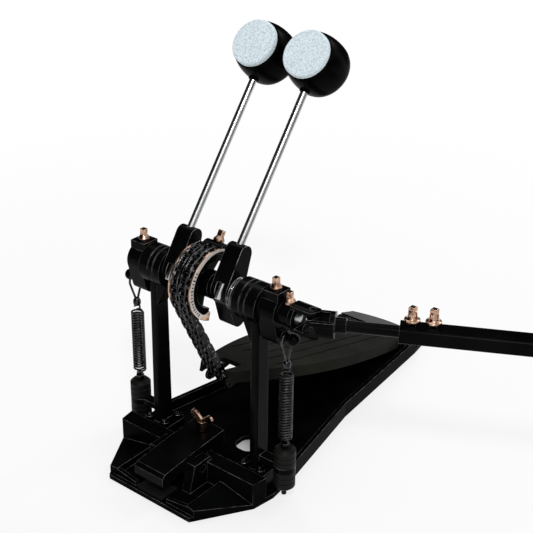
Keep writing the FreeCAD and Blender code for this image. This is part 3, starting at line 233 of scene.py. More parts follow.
class PedalCamera(bpy.types.PropertyGroup):
    """Camera and stage."""

    eye: bpy.props.FloatVectorProperty(
        name="Eye", description="Where the camera stands", default=(0.6031, -0.6724, 0.6577), size=3,
        subtype="TRANSLATION")
    back: bpy.props.FloatVectorProperty(
        name="Back", description="Direction from the object to the camera",
        default=(0.5621, -0.7038, 0.4344), size=3, subtype="DIRECTION")
    roll: angle("Roll", "Tilt of the camera about its line of sight", 0.58)
    lens: bpy.props.FloatProperty(
        name="Lens", description="Focal length on a 36 mm sensor", default=74.03, min=10, unit="CAMERA")
    shift_x: bpy.props.FloatProperty(name="Shift across", description="Framing across", default=0.0115)
    shift_y: bpy.props.FloatProperty(name="Shift up", description="Framing up", default=-0.0138)
    floor_half: length("Floor", "Half the width of the studio floor", 30.0)
    opening: bpy.props.FloatVectorProperty(
        name="Opening", description="Middle of the base's floor opening", default=(0.020, 0.042, 0.0),
        size=3, subtype="TRANSLATION", unit="LENGTH")


# Node helpers


def set_sockets(node, **values):
    """Set a node's named inputs, or link those that get a socket. An underscore stands for a space."""
    for label, value in values.items():
        socket = node.inputs[label.replace("_", " ")]
        if isinstance(value, bpy.types.NodeSocket):
            node.id_data.links.new(value, socket)
        else:
            socket.default_value = value


def add_node(tree, kind, **values):
    """A node with its named sockets set."""
    node = tree.nodes.new(kind)
    set_sockets(node, **values)
    return node


def effect_group(name, inputs, outputs):
    """An empty shader group with its sockets, and its end nodes."""
    group = bpy.data.node_groups.new(name, "ShaderNodeTree")
    for label, kind, default in inputs:
        socket = group.interface.new_socket(label, in_out="INPUT", socket_type=kind)
        socket.default_value = default
    for label, kind in outputs:
        group.interface.new_socket(label, in_out="OUTPUT", socket_type=kind)
    return group, group.nodes.new("NodeGroupInput"), group.nodes.new("NodeGroupOutput")


def place_group(tree, name, **values):
    """One shared effect in a material, with its own values."""
    node = tree.nodes.new("ShaderNodeGroup")
    node.node_tree = bpy.data.node_groups[name]
    set_sockets(node, **values)
    return node


def math_node(tree, operation, first, second):
    """One sum, product or the like of two sockets or numbers."""
    node = tree.nodes.new("ShaderNodeMath")
    node.operation = operation
    for index, value in enumerate((first, second)):
        if isinstance(value, (int, float)):
            node.inputs[index].default_value = value
        else:
            tree.links.new(value, node.inputs[index])
    return node.outputs[0]


def ramp_between(tree, value, span):
    """A value mapped from a span to 0..1."""
    low, high = span
    return add_node(tree, "ShaderNodeMapRange", Value=value, From_Min=low, From_Max=high).outputs["Result"]


def mix_colours(tree, share, first, second):
    """Two colour sockets mixed by a share."""
    mix = tree.nodes.new("ShaderNodeMix")
    mix.data_type = "RGBA"
    set_sockets(mix, Factor=share, A=first, B=second)
    return mix.outputs["Result"]


def own_place(tree):
    """The shaded point in the object's own coordinates."""
    return tree.nodes.new("ShaderNodeTexCoord").outputs["Object"]


def part_of(tree, vector, letter):
    """One coordinate of a vector socket."""
    return add_node(tree, "ShaderNodeSeparateXYZ", Vector=vector).outputs[letter]


def noise_value(tree, scale, detail):
    """Noise over the object's own coordinates."""
    texture = add_node(tree, "ShaderNodeTexNoise", Vector=own_place(tree), Scale=scale, Detail=detail)
    return texture.outputs["Fac"]


# Shared effects


def edge_glint_and_wear_group():
    """Colour that lightens along edges, broken up by noise: partly edge wear, partly a painted highlight
    that is strongest on edges that face up.
    """
    group, start, end = effect_group(
        "edge glint and wear",
        [("Base", "NodeSocketColor", (0, 0, 0, 1)), ("Edge", "NodeSocketColor", (1, 1, 1, 1)),
         ("Amount", "NodeSocketFloat", 0.5), ("Patches", "NodeSocketFloat", 120.0)],
        [("Color", "NodeSocketColor"), ("Normal", "NodeSocketVector")])
    bevel = add_node(group, "ShaderNodeBevel", Radius=EDGE_RADIUS)
    bevel.samples = 4
    rounded = bevel.outputs["Normal"]
    face = group.nodes.new("ShaderNodeNewGeometry")
    dot = group.nodes.new("ShaderNodeVectorMath")
    dot.operation = "DOT_PRODUCT"
    group.links.new(rounded, dot.inputs[0])
    group.links.new(face.outputs["Normal"], dot.inputs[1])
    edge = ramp_between(group, dot.outputs["Value"], EDGE_TURN)
    patches = ramp_between(group, noise_value(group, start.outputs["Patches"], 4.0), WEAR_AND_GLINT_PATCHES)
    # Painted light: edges that face up take more of the bright edge colour, as if lit from above
    faces_up_glint = ramp_between(group, part_of(group, rounded, "Z"), UPWARD_GLINT_TILT)
    worn_and_lit = math_node(group, "MULTIPLY", math_node(group, "MULTIPLY", edge, patches), faces_up_glint)
    mask = math_node(group, "MULTIPLY", worn_and_lit, start.outputs["Amount"])
    tone = mix_colours(group, mask, start.outputs["Base"], start.outputs["Edge"])
    set_sockets(end, Color=tone, Normal=rounded)


def mottle_group():
    """Two tones that drift into each other in patches or fibres."""
    group, start, end = effect_group(
        "two tone mottle",
        [("Main", "NodeSocketColor", (0, 0, 0, 1)), ("Second", "NodeSocketColor", (1, 1, 1, 1)),
         ("Scale", "NodeSocketFloat", 40.0)],
        [("Color", "NodeSocketColor")])
    share = ramp_between(group, noise_value(group, start.outputs["Scale"], 6.0), MOTTLE_SPAN)
    set_sockets(end, Color=mix_colours(group, share, start.outputs["Main"], start.outputs["Second"]))


def side_face_group():
    """A second colour on the faces that look along the axle, above the foot."""
    group, start, end = effect_group(
        "side faces",
        [("Rim", "NodeSocketColor", (0, 0, 0, 1)), ("Face", "NodeSocketColor", (1, 1, 1, 1)),
         ("Foot", "NodeSocketFloat", 0.0)],
        [("Color", "NodeSocketColor"), ("Metallic", "NodeSocketFloat")])
    normal = group.nodes.new("ShaderNodeNewGeometry").outputs["Normal"]
    along = math_node(group, "ABSOLUTE", part_of(group, normal, "X"), 0.0)
    over = math_node(group, "SUBTRACT", part_of(group, own_place(group), "Z"), start.outputs["Foot"])
    share = math_node(
        group, "MULTIPLY", ramp_between(group, along, SIDE_TURN), ramp_between(group, over, FOOT_BLEND))
    tone = mix_colours(group, share, start.outputs["Rim"], start.outputs["Face"])
    paled = math_node(group, "MULTIPLY", share, PALE_SHARE)
    set_sockets(end, Color=tone, Metallic=math_node(group, "SUBTRACT", 1.0, paled))


def grain_group():
    """Fine surface grain as a height, with a slow waviness under it."""
    group, start, end = effect_group(
        "surface grain",
        [("Fine", "NodeSocketFloat", 2500.0), ("Slow", "NodeSocketFloat", 60.0),
         ("Slow share", "NodeSocketFloat", 0.3)],
        [("Height", "NodeSocketFloat")])
    fine = noise_value(group, start.outputs["Fine"], 2.0)
    slow = noise_value(group, start.outputs["Slow"], 1.0)
    wave = math_node(group, "MULTIPLY", slow, start.outputs["Slow share"])
    set_sockets(end, Height=math_node(group, "ADD", fine, wave))


def smudge_group():
    """Roughness that drifts a little, as handled metal does."""
    group, start, end = effect_group(
        "handling smudges",
        [("Roughness", "NodeSocketFloat", 0.3), ("Spread", "NodeSocketFloat", 0.1),
         ("Scale", "NodeSocketFloat", 45.0)],
        [("Roughness", "NodeSocketFloat")])
    drift = math_node(group, "SUBTRACT", noise_value(group, start.outputs["Scale"], 5.0), 0.5)
    change = math_node(group, "MULTIPLY", drift, start.outputs["Spread"])
    set_sockets(end, Roughness=math_node(group, "ADD", change, start.outputs["Roughness"]))


# Finishes


def solid(rgb):
    """A colour with full alpha."""
    return (rgb[0], rgb[1], rgb[2], 1.0)


def finish(name, tones, mottle, rough, wear, grain, rounded=True, **constants):
    """A finish from the shared effects. Constants go straight on the shader's sockets.

    tones are the main, second and edge colours, mottle the scale of the first two, rough the mean roughness
    and its drift, wear the share of the edge colour, which stands partly for edge wear and partly for a
    painted highlight on edges that face up, grain the scale and strength of the fine relief, and rounded
    softens the edges.
    """
    material = bpy.data.materials.new(name)
    material.use_nodes = True
    tree = material.node_tree
    main, second, edge = [solid(tone) for tone in tones]
    drift = place_group(tree, "two tone mottle", Main=main, Second=second, Scale=mottle)
    # The edge colour is partly edge wear and partly a painted highlight on edges that face up
    worn_and_lit = place_group(tree, "edge glint and wear", Base=drift.outputs["Color"], Edge=edge, Amount=wear)
    smudges = place_group(tree, "handling smudges", Roughness=rough[0], Spread=rough[1])
    texture = place_group(tree, "surface grain", Fine=grain[0])
    relief = add_node(tree, "ShaderNodeBump", Strength=grain[1], Distance=RELIEF_DEPTH,
                      Height=texture.outputs["Height"])
    if rounded:
        set_sockets(relief, Normal=worn_and_lit.outputs["Normal"])
    set_sockets(tree.nodes["Principled BSDF"], Base_Color=worn_and_lit.outputs["Color"],
                Roughness=smudges.outputs["Roughness"], Normal=relief.outputs["Normal"], **constants)
    return material


def gloss_paint(c):
    """Black gloss paint over cast metal."""
    return finish("black gloss paint", (c.paint, c.paint_haze, c.paint_edge_wear_glint), mottle=26.0,
                  rough=(0.22, 0.14), wear=0.8, grain=(900.0, 0.05), Specular_IOR_Level=0.03)


def hub_paint_with_edge_glint(c):
    """Black gloss paint with a bright painted highlight along the hubs' edges."""
    return finish("black hub paint with painted edge glint", (c.paint, c.paint_haze, c.collar_edge_glint), mottle=26.0,
                  rough=(0.22, 0.14), wear=1.0, grain=(900.0, 0.05), Specular_IOR_Level=0.03)


def base_coat(c):
    """Black powder coat on the base plates."""
    return finish("black base coat", (c.base, c.paint_haze, c.paint_edge_wear_glint), mottle=22.0,
                  rough=(0.34, 0.14), wear=0.8, grain=(1100.0, 0.08), Specular_IOR_Level=0.008)


def board_coat(c):
    """Satin grey coat on the footboards."""
    return finish("satin board coat", (c.board, c.board_haze, c.board_edge_wear_glint), mottle=14.0,
                  rough=(0.40, 0.12), wear=0.7, grain=(2600.0, 0.2), Specular_IOR_Level=0.014)


def chrome_plate(c):
    """Bright chrome plate."""
    return finish("chrome plate", (c.chrome, c.chrome_haze, c.chrome), mottle=35.0,
                  rough=(0.22, 0.06), wear=0.0, grain=(240.0, 0.01), rounded=False, Metallic=1.0)


def black_steel(c):
    """Blackened steel with bright corners, partly wear and partly a painted highlight."""
    return finish("black steel", (c.steel, c.steel_haze, c.steel_edge_wear_glint), mottle=90.0,
                  rough=(0.26, 0.14), wear=1.0, grain=(1500.0, 0.08), Metallic=1.0)


def spring_steel(c):
    """Blackened spring wire that shines along its turns."""
    return finish("spring wire", (c.spring, c.steel_haze, c.steel_edge_wear_glint), mottle=160.0,
                  rough=(0.20, 0.08), wear=0.0, grain=(1500.0, 0.03), rounded=False, Metallic=1.0)


def copper_plate(c):
    """Rose copper plate."""
    return finish("copper plate", (c.copper, c.copper_haze, c.copper_edge_wear_glint), mottle=230.0,
                  rough=(0.17, 0.12), wear=0.5, grain=(1200.0, 0.05), Metallic=1.0)


def flange_plate(c):
    """Rose copper plate with pale brushed faces above the foot."""
    material = finish("flange plate", (c.copper, c.copper_haze, c.copper_edge_wear_glint), mottle=130.0,
                      rough=(0.26, 0.14), wear=0.5, grain=(1200.0, 0.05), Metallic=1.0)
    tree = material.node_tree
    shader = tree.nodes["Principled BSDF"]
    worn_and_lit = shader.inputs["Base Color"].links[0].from_socket
    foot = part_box("cam_flanges")[0].z + bpy.context.scene.pedal_sizes.flange_foot
    faces = place_group(tree, "side faces", Rim=worn_and_lit, Face=solid(c.flange), Foot=foot)
    set_sockets(shader, Base_Color=faces.outputs["Color"], Metallic=faces.outputs["Metallic"])
    return material


def collar_plate(c):
    """Dark brushed plate with a painted highlight along its ribs."""
    return finish("brushed collar with painted rib glints", (c.collar, c.steel_haze, c.collar_edge_glint), mottle=200.0,
                  rough=(0.22, 0.12), wear=1.0, grain=(700.0, 0.06), Metallic=1.0)


def knob_coat(c):
    """Matte dark grey coat of the spring knobs."""
    return finish("matte knob coat", (c.knob, c.board, c.knob_edge_wear_glint), mottle=60.0,
                  rough=(0.48, 0.12), wear=0.7, grain=(3000.0, 0.25), Specular_IOR_Level=0.08)


def head_plastic(c):
    """Smooth black plastic."""
    return finish("beater head plastic", (c.head, c.paint, c.knob_edge_wear_glint), mottle=30.0,
                  rough=(0.28, 0.10), wear=0.2, grain=(1500.0, 0.05), Specular_IOR_Level=0.02)


def felt_wool(c):
    """White pressed felt with short fibres."""
    return finish("pressed felt", (c.felt, c.felt_shade, c.felt), mottle=620.0,
                  rough=(0.95, 0.06), wear=0.0, grain=(1300.0, 0.8), rounded=False, Specular_IOR_Level=0.05)


def pad_rubber(c):
    """Matte black rubber."""
    return finish("pad rubber", (c.rubber, c.knob, c.knob_edge_wear_glint), mottle=50.0,
                  rough=(0.66, 0.10), wear=0.5, grain=(2200.0, 0.35), Specular_IOR_Level=0.08)


FINISH_OF_SLOT = {
    "black_paint": gloss_paint,
    "board_paint": board_coat,
    "chrome": chrome_plate,
    "black_steel": black_steel,
    "copper": copper_plate,
    "knob": knob_coat,
    "head": head_plastic,
    "felt": felt_wool,
    "pad_rubber": pad_rubber,
}
OWN_FINISH = {
    "base_plate": base_coat,
    "second_base_plate": base_coat,
    "beater_hub_left": hub_paint_with_edge_glint,
    "beater_hub_right": hub_paint_with_edge_glint,
    "shaft_bar": gloss_paint,
    "cam_flanges": flange_plate,
    "second_cam_trim": flange_plate,
    "axle_collar": collar_plate,
}


def made_finish(maker):
    """The material that a finish gives, made once."""
    scene = bpy.context.scene
    if maker.__name__ not in scene:
        scene[maker.__name__] = maker(scene.pedal_colours).name
    return bpy.data.materials[scene[maker.__name__]]


# Mesh helpers


def mesh_piece(name, points, faces, slot, body, maker=None):
    """A smooth mesh piece with a slot's finish, or its own, that rides on a body if one is given."""
    mesh = bpy.data.meshes.new(name)
    mesh.from_pydata([tuple(p) for p in points], [], faces)
    mesh.update()
    mesh.polygons.foreach_set("use_smooth", [True] * len(mesh.polygons))
    piece = bpy.data.objects.new(name, mesh)
    bpy.context.scene.collection.objects.link(piece)
    mesh.materials.append(made_finish(maker or FINISH_OF_SLOT[slot]))
    if body:
        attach(piece, body)
    return piece


def flat_faces(piece):
    """Shade a piece flat."""
    piece.data.polygons.foreach_set("use_smooth", [False] * len(piece.data.polygons))


def soft_edges(piece):
    """Shade a piece flat and take the sharpness off its edges."""
    flat_faces(piece)
    soften = piece.modifiers.new("soft edges", "BEVEL")
    soften.width = SOFT_BEVEL
    soften.segments = 2


def add_shell(points, faces, shell):
    """Add another shell's points and faces to a mesh's lists."""
    first = len(points)
    points += shell[0]
    faces += [tuple(first + i for i in face) for face in shell[1]]


def ring_bands(rings, sides, first=0):
    """Faces between rings of points that follow each other from a first index."""
    faces = []
    for ring in range(rings - 1):
        start = first + ring * sides
        for step in range(sides):
            a = start + step
            b = start + (step + 1) % sides
            faces.append((a, b, b + sides, a + sides))
    return faces


def tube_mesh(path, radius, sides=10):
    """Points and faces of a closed round wire along a path."""
    points = []
    side = (path[1] - path[0]).orthogonal().normalized()
    for index, centre in enumerate(path):
        before = path[max(index - 1, 0)]
        after = path[min(index + 1, len(path) - 1)]
        way = (after - before).normalized()
        side = (side - way * side.dot(way)).normalized()
        across = way.cross(side)
        for step in range(sides):
            turn = 2 * math.pi * step / sides
            points.append(centre + side * (radius * math.cos(turn)) + across * (radius * math.sin(turn)))
    faces = ring_bands(len(path), sides)
    faces.append(tuple(reversed(range(sides))))
    faces.append(tuple(range(len(points) - sides, len(points))))
    return points, faces


def closed_profile(steps):
    """Profile steps with both ends brought in to the axis."""
    return [(0, steps[0][1])] + steps + [(0, steps[-1][1])]


def turned_mesh(profile, centre, axis, sides=64):
    """Points and faces of a turned solid, from (radius, along) steps that start and end on the axis."""
    side = axis.orthogonal().normalized()
    across = axis.cross(side)
    points = [centre + axis * profile[0][1]]
    for radius, along in profile[1:-1]:
        for step in range(sides):
            turn = 2 * math.pi * step / sides
            spoke = side * math.cos(turn) + across * math.sin(turn)
            points.append(centre + axis * along + spoke * radius)
    points.append(centre + axis * profile[-1][1])
    last = len(points) - 1
    rings = len(profile) - 2
    faces = [(0, 1 + (s + 1) % sides, 1 + s) for s in range(sides)]
    faces += ring_bands(rings, sides, 1)
    top = 1 + (rings - 1) * sides
    faces += [(last, top + s, top + (s + 1) % sides) for s in range(sides)]
    return points, faces


def node_centre(node):
    """Middle of a frame node's box."""
    low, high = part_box(node)
    return (low + high) / 2


def half_width(node):
    """Half of a frame node's width across the pedal."""
    low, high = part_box(node)
    return (high.x - low.x) / 2


def node_points(node):
    """A frame node's points at rest."""
    piece = frame["nodes"][node]
    return [piece.matrix_world @ vertex.co for vertex in piece.data.vertices]


def beater_axes(sizes):
    """Directions out of a beater's felt and up its rod."""
    forward = Vector((0, -math.cos(sizes.lean), math.sin(sizes.lean)))
    upward = Vector((0, math.sin(sizes.lean), math.cos(sizes.lean)))
    return forward, upward


# Operators


class PEDAL_OT_finish_frame(bpy.types.Operator):
    """Give every frame node its finish"""

    bl_idname = "pedal.finish_frame"
    bl_label = "Finish frame"

    def execute(self, context):
        edge_glint_and_wear_group()
        mottle_group()
        side_face_group()
        grain_group()
        smudge_group()
        for row in frame["record"]["subparts"]:
            node = frame["nodes"][row["node"]]
            maker = OWN_FINISH.get(row["node"], FINISH_OF_SLOT[row["material_slot"]])
            node.data.materials.clear()
            node.data.materials.append(made_finish(maker))
        return {"FINISHED"}


class PEDAL_OT_felts(bpy.types.Operator):
    """Make the two beater felts"""

    bl_idname = "pedal.felts"
    bl_label = "Beater felts"

    def execute(self, context):
        sizes = context.scene.pedal_sizes
        forward, _ = beater_axes(sizes)
        half = sizes.felt_depth / 2
        rim = sizes.felt_rim
        wall = sizes.felt_depth - rim
        rounds = 6
        crowns = 14
        for side in SIDES:
            node = "beater_felt_" + side
            radius = half_width(node)
            profile = [(0, -half), (radius, -half)]
            profile += [(radius, -half + wall * step / rounds) for step in range(1, rounds)]
            for step in range(rounds + 1):
                turn = math.pi / 2 * step / rounds
                profile.append((radius - rim + rim * math.cos(turn), half - rim + rim * math.sin(turn)))
            for step in range(1, crowns):
                reach = (radius - rim) * (1 - step / crowns)
                crown = sizes.felt_crown * (1 - (reach / radius) ** 2)
                profile.append((reach, half - sizes.felt_crown + crown))
            profile.append((0, half))
            points, faces = turned_mesh(profile, node_centre(node), forward, 96)
            fluffed = []
            for point in points:
                drift = sum(noise.noise(point * scale) * height for scale, height in FLUFF)
                fluffed.append(point + forward * drift)
            piece = mesh_piece("felt_" + side, fluffed, faces, "felt", side + "_axle")
            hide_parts(node)
        return {"FINISHED"}


class PEDAL_OT_beater_heads(bpy.types.Operator):
    """Make the two barrel-shaped beater heads"""

    bl_idname = "pedal.beater_heads"
    bl_label = "Beater heads"

    def execute(self, context):
        sizes = context.scene.pedal_sizes
        forward, upward = beater_axes(sizes)
        depth = sizes.head_depth
        swell = sizes.head_swell
        boss = sizes.boss_radius
        shoulder, tip = BOSS_RISE
        for side in SIDES:
            node = "beater_head_" + side
            radius = half_width(node)
            full = radius + swell
            front = node_centre("beater_felt_" + side) - forward * (sizes.felt_depth / 2)
            profile = [(0, -depth)]
            profile += [(full * wide, -depth * back) for back, wide in reversed(HEAD_DOME)]
            profile += [(radius + swell * share, -depth * back) for back, share in reversed(HEAD_BELLY)]
            profile += [(radius - HEAD_INSET, 0), (0, 0)]
            points, faces = turned_mesh(profile, front, forward, 72)
            rod = node_centre("beater_rod_" + side)
            entry = front + forward * (rod - front).dot(forward)
            rise = closed_profile(
                [(boss, radius * BOSS_START), (boss, full + shoulder), (boss * BOSS_TIP, full + tip)])
            add_shell(points, faces, turned_mesh(rise, entry, -upward, 32))
            piece = mesh_piece("barrel_head_" + side, points, faces, "head", side + "_axle")
            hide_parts(node)
        return {"FINISHED"}


def end_loop(x, z, radius, start_deg, end_deg, steps=18):
    """Wire loop in the X-Z plane."""
    path = []
    for step in range(steps + 1):
        turn = math.radians(start_deg + (end_deg - start_deg) * step / steps)
        path.append(Vector((x + radius * math.cos(turn), 0, z + radius * math.sin(turn))))
    return path


def coil_point(x, reach, turn, z):
    """Point of a return spring's wire about its own axis."""
    return Vector((x + reach * math.cos(turn), reach * math.sin(turn), z))


def spring_path(x, turns, sizes):
    """Line of a return spring's wire: lower loop, coils, upper loop."""
    low = sizes.spring_low
    high = sizes.spring_high
    hook = sizes.spring_hook
    mean = sizes.spring_mean
    lead = 2 * sizes.spring_wire
    lead_steps = 10
    leads = [step / lead_steps for step in range(1, lead_steps)]
    per_turn = 22
    count = turns * per_turn
    path = end_loop(x, low - lead - hook, hook, -210, 90)
    path += [coil_point(x, mean * s, math.pi * (1 + s), low - lead * (1 - s)) for s in leads]
    for step in range(count + 1):
        share = step / count
        path.append(coil_point(x, mean, 2 * math.pi * turns * share, low + (high - low) * share))
    path += [coil_point(x, mean * (1 - s), math.pi * s, high + lead * s) for s in leads]
    path += end_loop(x, high + lead + hook, hook, -90, 210)
    return path


class PEDAL_OT_springs(bpy.types.Operator):
    """Make the two return springs with their end loops"""

    bl_idname = "pedal.springs"
    bl_label = "Return springs"

    turns: bpy.props.IntProperty(name="Turns", description="Coils of each return spring", default=23, min=4)

    def execute(self, context):
        sizes = context.scene.pedal_sizes
        for side in SIDES:
            node = "spring_" + side
            x = node_centre(node).x
            points, faces = tube_mesh(spring_path(x, self.turns, sizes), sizes.spring_wire, 12)
            piece = mesh_piece("return_spring_" + side, points, faces, "black_steel", None, spring_steel)
            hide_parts(node)
            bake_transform(piece)
        return {"FINISHED"}


class PEDAL_OT_spring_links(bpy.types.Operator):
    """Make the wire loops that hang the springs on the rockers' studs"""

    bl_idname = "pedal.spring_links"
    bl_label = "Spring links"

    def execute(self, context):
        sizes = context.scene.pedal_sizes
        wire = sizes.link_wire
        half = sizes.link_half
        steps = 40
        for side in SIDES:
            node = "spring_link_" + side
            low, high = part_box(node)
            x = (low.x + high.x) / 2
            centre = high.z - wire - half
            foot = low.z + LINK_FOOT
            tail = foot - LINK_TAIL
            lean = math.acos(half / (centre - foot))
            path = [Vector((x, -wire, tail)), Vector((x, -wire, foot))]
            for step in range(steps + 1):
                turn = -math.pi / 2 - lean - (2 * math.pi - 2 * lean) * step / steps
                path.append(Vector((x, half * math.cos(turn), centre + half * math.sin(turn))))
            path += [Vector((x, wire, foot)), Vector((x, wire, tail))]
            points, faces = tube_mesh(path, wire, 14)
            radius = half_width(node)
            sleeve = closed_profile([(radius * wide, tall) for wide, tall in LINK_SLEEVE])
            add_shell(points, faces, turned_mesh(sleeve, Vector((x, 0, low.z)), UP, 32))
            piece = mesh_piece("spring_loop_" + side, points, faces, "black_steel", side + "_spring_link",
                               spring_steel)
            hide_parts(node)
        return {"FINISHED"}


class PEDAL_OT_beater_rods(bpy.types.Operator):
    """Make the two chromed beater rods with chamfered ends"""

    bl_idname = "pedal.beater_rods"
    bl_label = "Beater rods"

    def execute(self, context):
        _, axis = beater_axes(context.scene.pedal_sizes)
        rings = 12
        for side in SIDES:
            node = "beater_rod_" + side
            low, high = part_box(node)
            radius = half_width(node)
            half = ((high.z - low.z) - 2 * radius * axis.y) / axis.z / 2
            bevel = radius * ROD_CHAMFER
            profile = [(radius - bevel, -half), (radius, bevel - half)]
            profile += [(radius, (half - bevel) * step / rings) for step in range(1 - rings, rings)]
            profile += [(radius, half - bevel), (radius - bevel, half)]
            points, faces = turned_mesh(closed_profile(profile), node_centre(node), axis, 72)
            piece = mesh_piece("chromed_rod_" + side, points, faces, "chrome", side + "_axle")
            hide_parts(node)
        return {"FINISHED"}


class PEDAL_OT_tube_bolts(bpy.types.Operator):
    """Make the bell-shaped locking bolts on the shaft's tube"""

    bl_idname = "pedal.tube_bolts"
    bl_label = "Tube bolts"

    def execute(self, context):
        sizes = context.scene.pedal_sizes
        places = node_points("shaft_key_bolts")
        middle = node_centre("shaft_key_bolts").x
        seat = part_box("shaft_tube")[1].z
        rim = sizes.bell_radius
        top = sizes.bell_height
        bell = closed_profile([(rim * wide, top * tall) for wide, tall in BELL])
        points = []
        faces = []
        for group in ([p for p in places if p.x < middle], [p for p in places if p.x >= middle]):
            spot = Vector(((min(p.x for p in group) + max(p.x for p in group)) / 2,
                           (min(p.y for p in group) + max(p.y for p in group)) / 2, seat))
            add_shell(points, faces, turned_mesh(bell, spot, UP, 48))
            add_shell(points, faces, square_head(spot, rim * DRIVE_HALF, top * DRIVE_FOOT, top))
        piece = mesh_piece("bell_bolts", points, faces, "copper", "tube")
        split = piece.modifiers.new("crisp edges", "EDGE_SPLIT")
        split.split_angle = math.radians(CRISP_ANGLE)
        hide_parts("shaft_key_bolts")
        return {"FINISHED"}


def square_head(spot, half, bottom, top):
    """Points and faces of a square drive with a chamfered top."""
    cut = half * DRIVE_CHAMFER
    points = []
    for reach, height in ((half, bottom), (half, top - cut), (half - cut, top)):
        points += [spot + Vector((a * reach, b * reach, height)) for a, b in CORNERS]
    faces = [(3, 2, 1, 0), (8, 9, 10, 11)] + ring_bands(3, 4)
    return points, faces


class PEDAL_OT_clamp_spring(bpy.types.Operator):
    """Make the coil on the hoop clamp's screw"""

    bl_idname = "pedal.clamp_spring"
    bl_label = "Clamp spring"

    turns: bpy.props.IntProperty(name="Turns", description="Coils of the clamp spring", default=5, min=2)

    def execute(self, context):
        sizes = context.scene.pedal_sizes
        low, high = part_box("clamp_spring")
        middle = (low + high) / 2
        bottom = low.z + sizes.clamp_wire
        top = high.z - sizes.clamp_wire
        mean = sizes.clamp_mean
        per_turn = 26
        count = self.turns * per_turn
        path = []
        for step in range(count + 1):
            share = step / count
            eased = share - CLAMP_EASE * math.sin(2 * math.pi * share)
            turn = 2 * math.pi * self.turns * share
            path.append(Vector((middle.x + mean * math.cos(turn), middle.y + mean * math.sin(turn),
                                bottom + (top - bottom) * eased)))
        points, faces = tube_mesh(path, sizes.clamp_wire, 12)
        piece = mesh_piece("clamp_return_spring", points, faces, "chrome", None)
        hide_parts("clamp_spring")
        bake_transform(piece)
        return {"FINISHED"}


class PEDAL_OT_hoop_pad(bpy.types.Operator):
    """Make the ribbed rubber pad under the drum's hoop"""

    bl_idname = "pedal.hoop_pad"
    bl_label = "Hoop pad"

    ribs: bpy.props.IntProperty(name="Ribs", description="Ribs across the pad", default=9, min=2)

    def execute(self, context):
        low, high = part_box("hoop_pad")
        depth = (high.z - low.z) * RIB_DEPTH
        crowns = self.ribs * 2
        outline = []
        for step in range(crowns + 1):
            y = low.y + (high.y - low.y) * step / crowns
            outline.append((y, high.z - (0 if step % 2 else depth)))
        outline += [(high.y, low.z), (low.y, low.z)]
        count = len(outline)
        points = [(x, y, z) for x in (low.x, high.x) for y, z in outline]
        faces = ring_bands(2, count)
        faces.append(tuple(reversed(range(count))))
        faces.append(tuple(range(count, 2 * count)))
        piece = mesh_piece("hoop_pad_ribbed", points, faces, "pad_rubber", "primary_frame")
        soft_edges(piece)
        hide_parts("hoop_pad")
        return {"FINISHED"}


class PEDAL_OT_flanges(bpy.types.Operator):
    """Make the two narrow crescent flanges beside the cam's chain"""

    bl_idname = "pedal.flanges"
    bl_label = "Cam flanges"

    def execute(self, context):
        sizes = context.scene.pedal_sizes
        places = node_points("cam_flanges")
        axle = node_centre("primary_axle")
        reaches = [math.hypot(p.y - axle.y, p.z - axle.z) for p in places]
        outer = max(reaches)
        rim = [p for p, reach in zip(places, reaches) if reach > outer * 0.99]
        turns = [math.atan2(p.z - axle.z, axle.y - p.y) for p in rim]
        span = (min(turns), max(turns))
        points = []
        faces = []
        for sign in (-1, 1):
            across = [p.x for p in places if p.x * sign > 0]
            add_shell(points, faces, crescent(axle, span, outer, (min(across), max(across)), sizes))
        piece = mesh_piece("crescent_flanges", points, faces, "copper", "left_axle", flange_plate)
        soft_edges(piece)
        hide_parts("cam_flanges")
        return {"FINISHED"}


def crescent(axle, span, outer, across, sizes, steps=72):
    """Points and faces of a flat ring that tapers to its top and hooks inwards at its foot."""
    start, end = span
    points = []
    for step in range(steps + 1):
        share = step / steps
        turn = start + (end - start) * share
        out = Vector((0, -math.cos(turn), math.sin(turn)))
        taper = 1 - TAPER_LOSS * max(0.0, (share - TAPER_START) / (1 - TAPER_START))
        hook = math.exp(-((share - HOOK_MIDDLE) / HOOK_REACH) ** 2)
        wide = sizes.flange_wide * taper + sizes.flange_hook * hook
        for x in across:
            for reach in (outer - wide, outer):
                spot = axle + out * reach
                points.append(Vector((x, spot.y, spot.z)))
    faces = [(0, 2, 3, 1)]
    for step in range(steps):
        a = 4 * step
        faces += [(a + i, a + j, a + j + 4, a + i + 4) for i, j in ((0, 1), (1, 3), (3, 2), (2, 0))]
    a = 4 * steps
    faces.append((a, a + 1, a + 3, a + 2))
    return points, faces


class PEDAL_OT_flange_ticks(bpy.types.Operator):
    """Make the plain ticks on the outer face of the cam's right flange"""

    bl_idname = "pedal.flange_ticks"
    bl_label = "Flange ticks"

    count: bpy.props.IntProperty(name="Ticks", description="Ticks along the flange", default=15, min=2)

    def execute(self, context):
        sizes = context.scene.pedal_sizes
        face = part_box("cam_flanges")[1].x
        axle = node_centre("primary_axle")
        points = []
        faces = []
        for tick in range(self.count):
            turn = sizes.tick_start + sizes.tick_sweep * tick / (self.count - 1)
            out = Vector((0, -math.cos(turn), math.sin(turn)))
            along = Vector((0, math.sin(turn), math.cos(turn)))
            reach = sizes.tick_length if tick % LONG_TICK == 0 else sizes.tick_length * SHORT_TICK
            middle = Vector((face, axle.y, axle.z)) + out * sizes.tick_radius
            block = []
            for height in (0, sizes.tick_proud):
                for a, b in CORNERS:
                    block.append(middle + out * (a * reach / 2) + along * (b * sizes.tick_width / 2)
                                 + Vector((height, 0, 0)))
            add_shell(points, faces, (block, [(3, 2, 1, 0), (4, 5, 6, 7)] + ring_bands(2, 4)))
        piece = mesh_piece("flange_ticks", points, faces, "black_paint", "left_axle")
        flat_faces(piece)
        return {"FINISHED"}


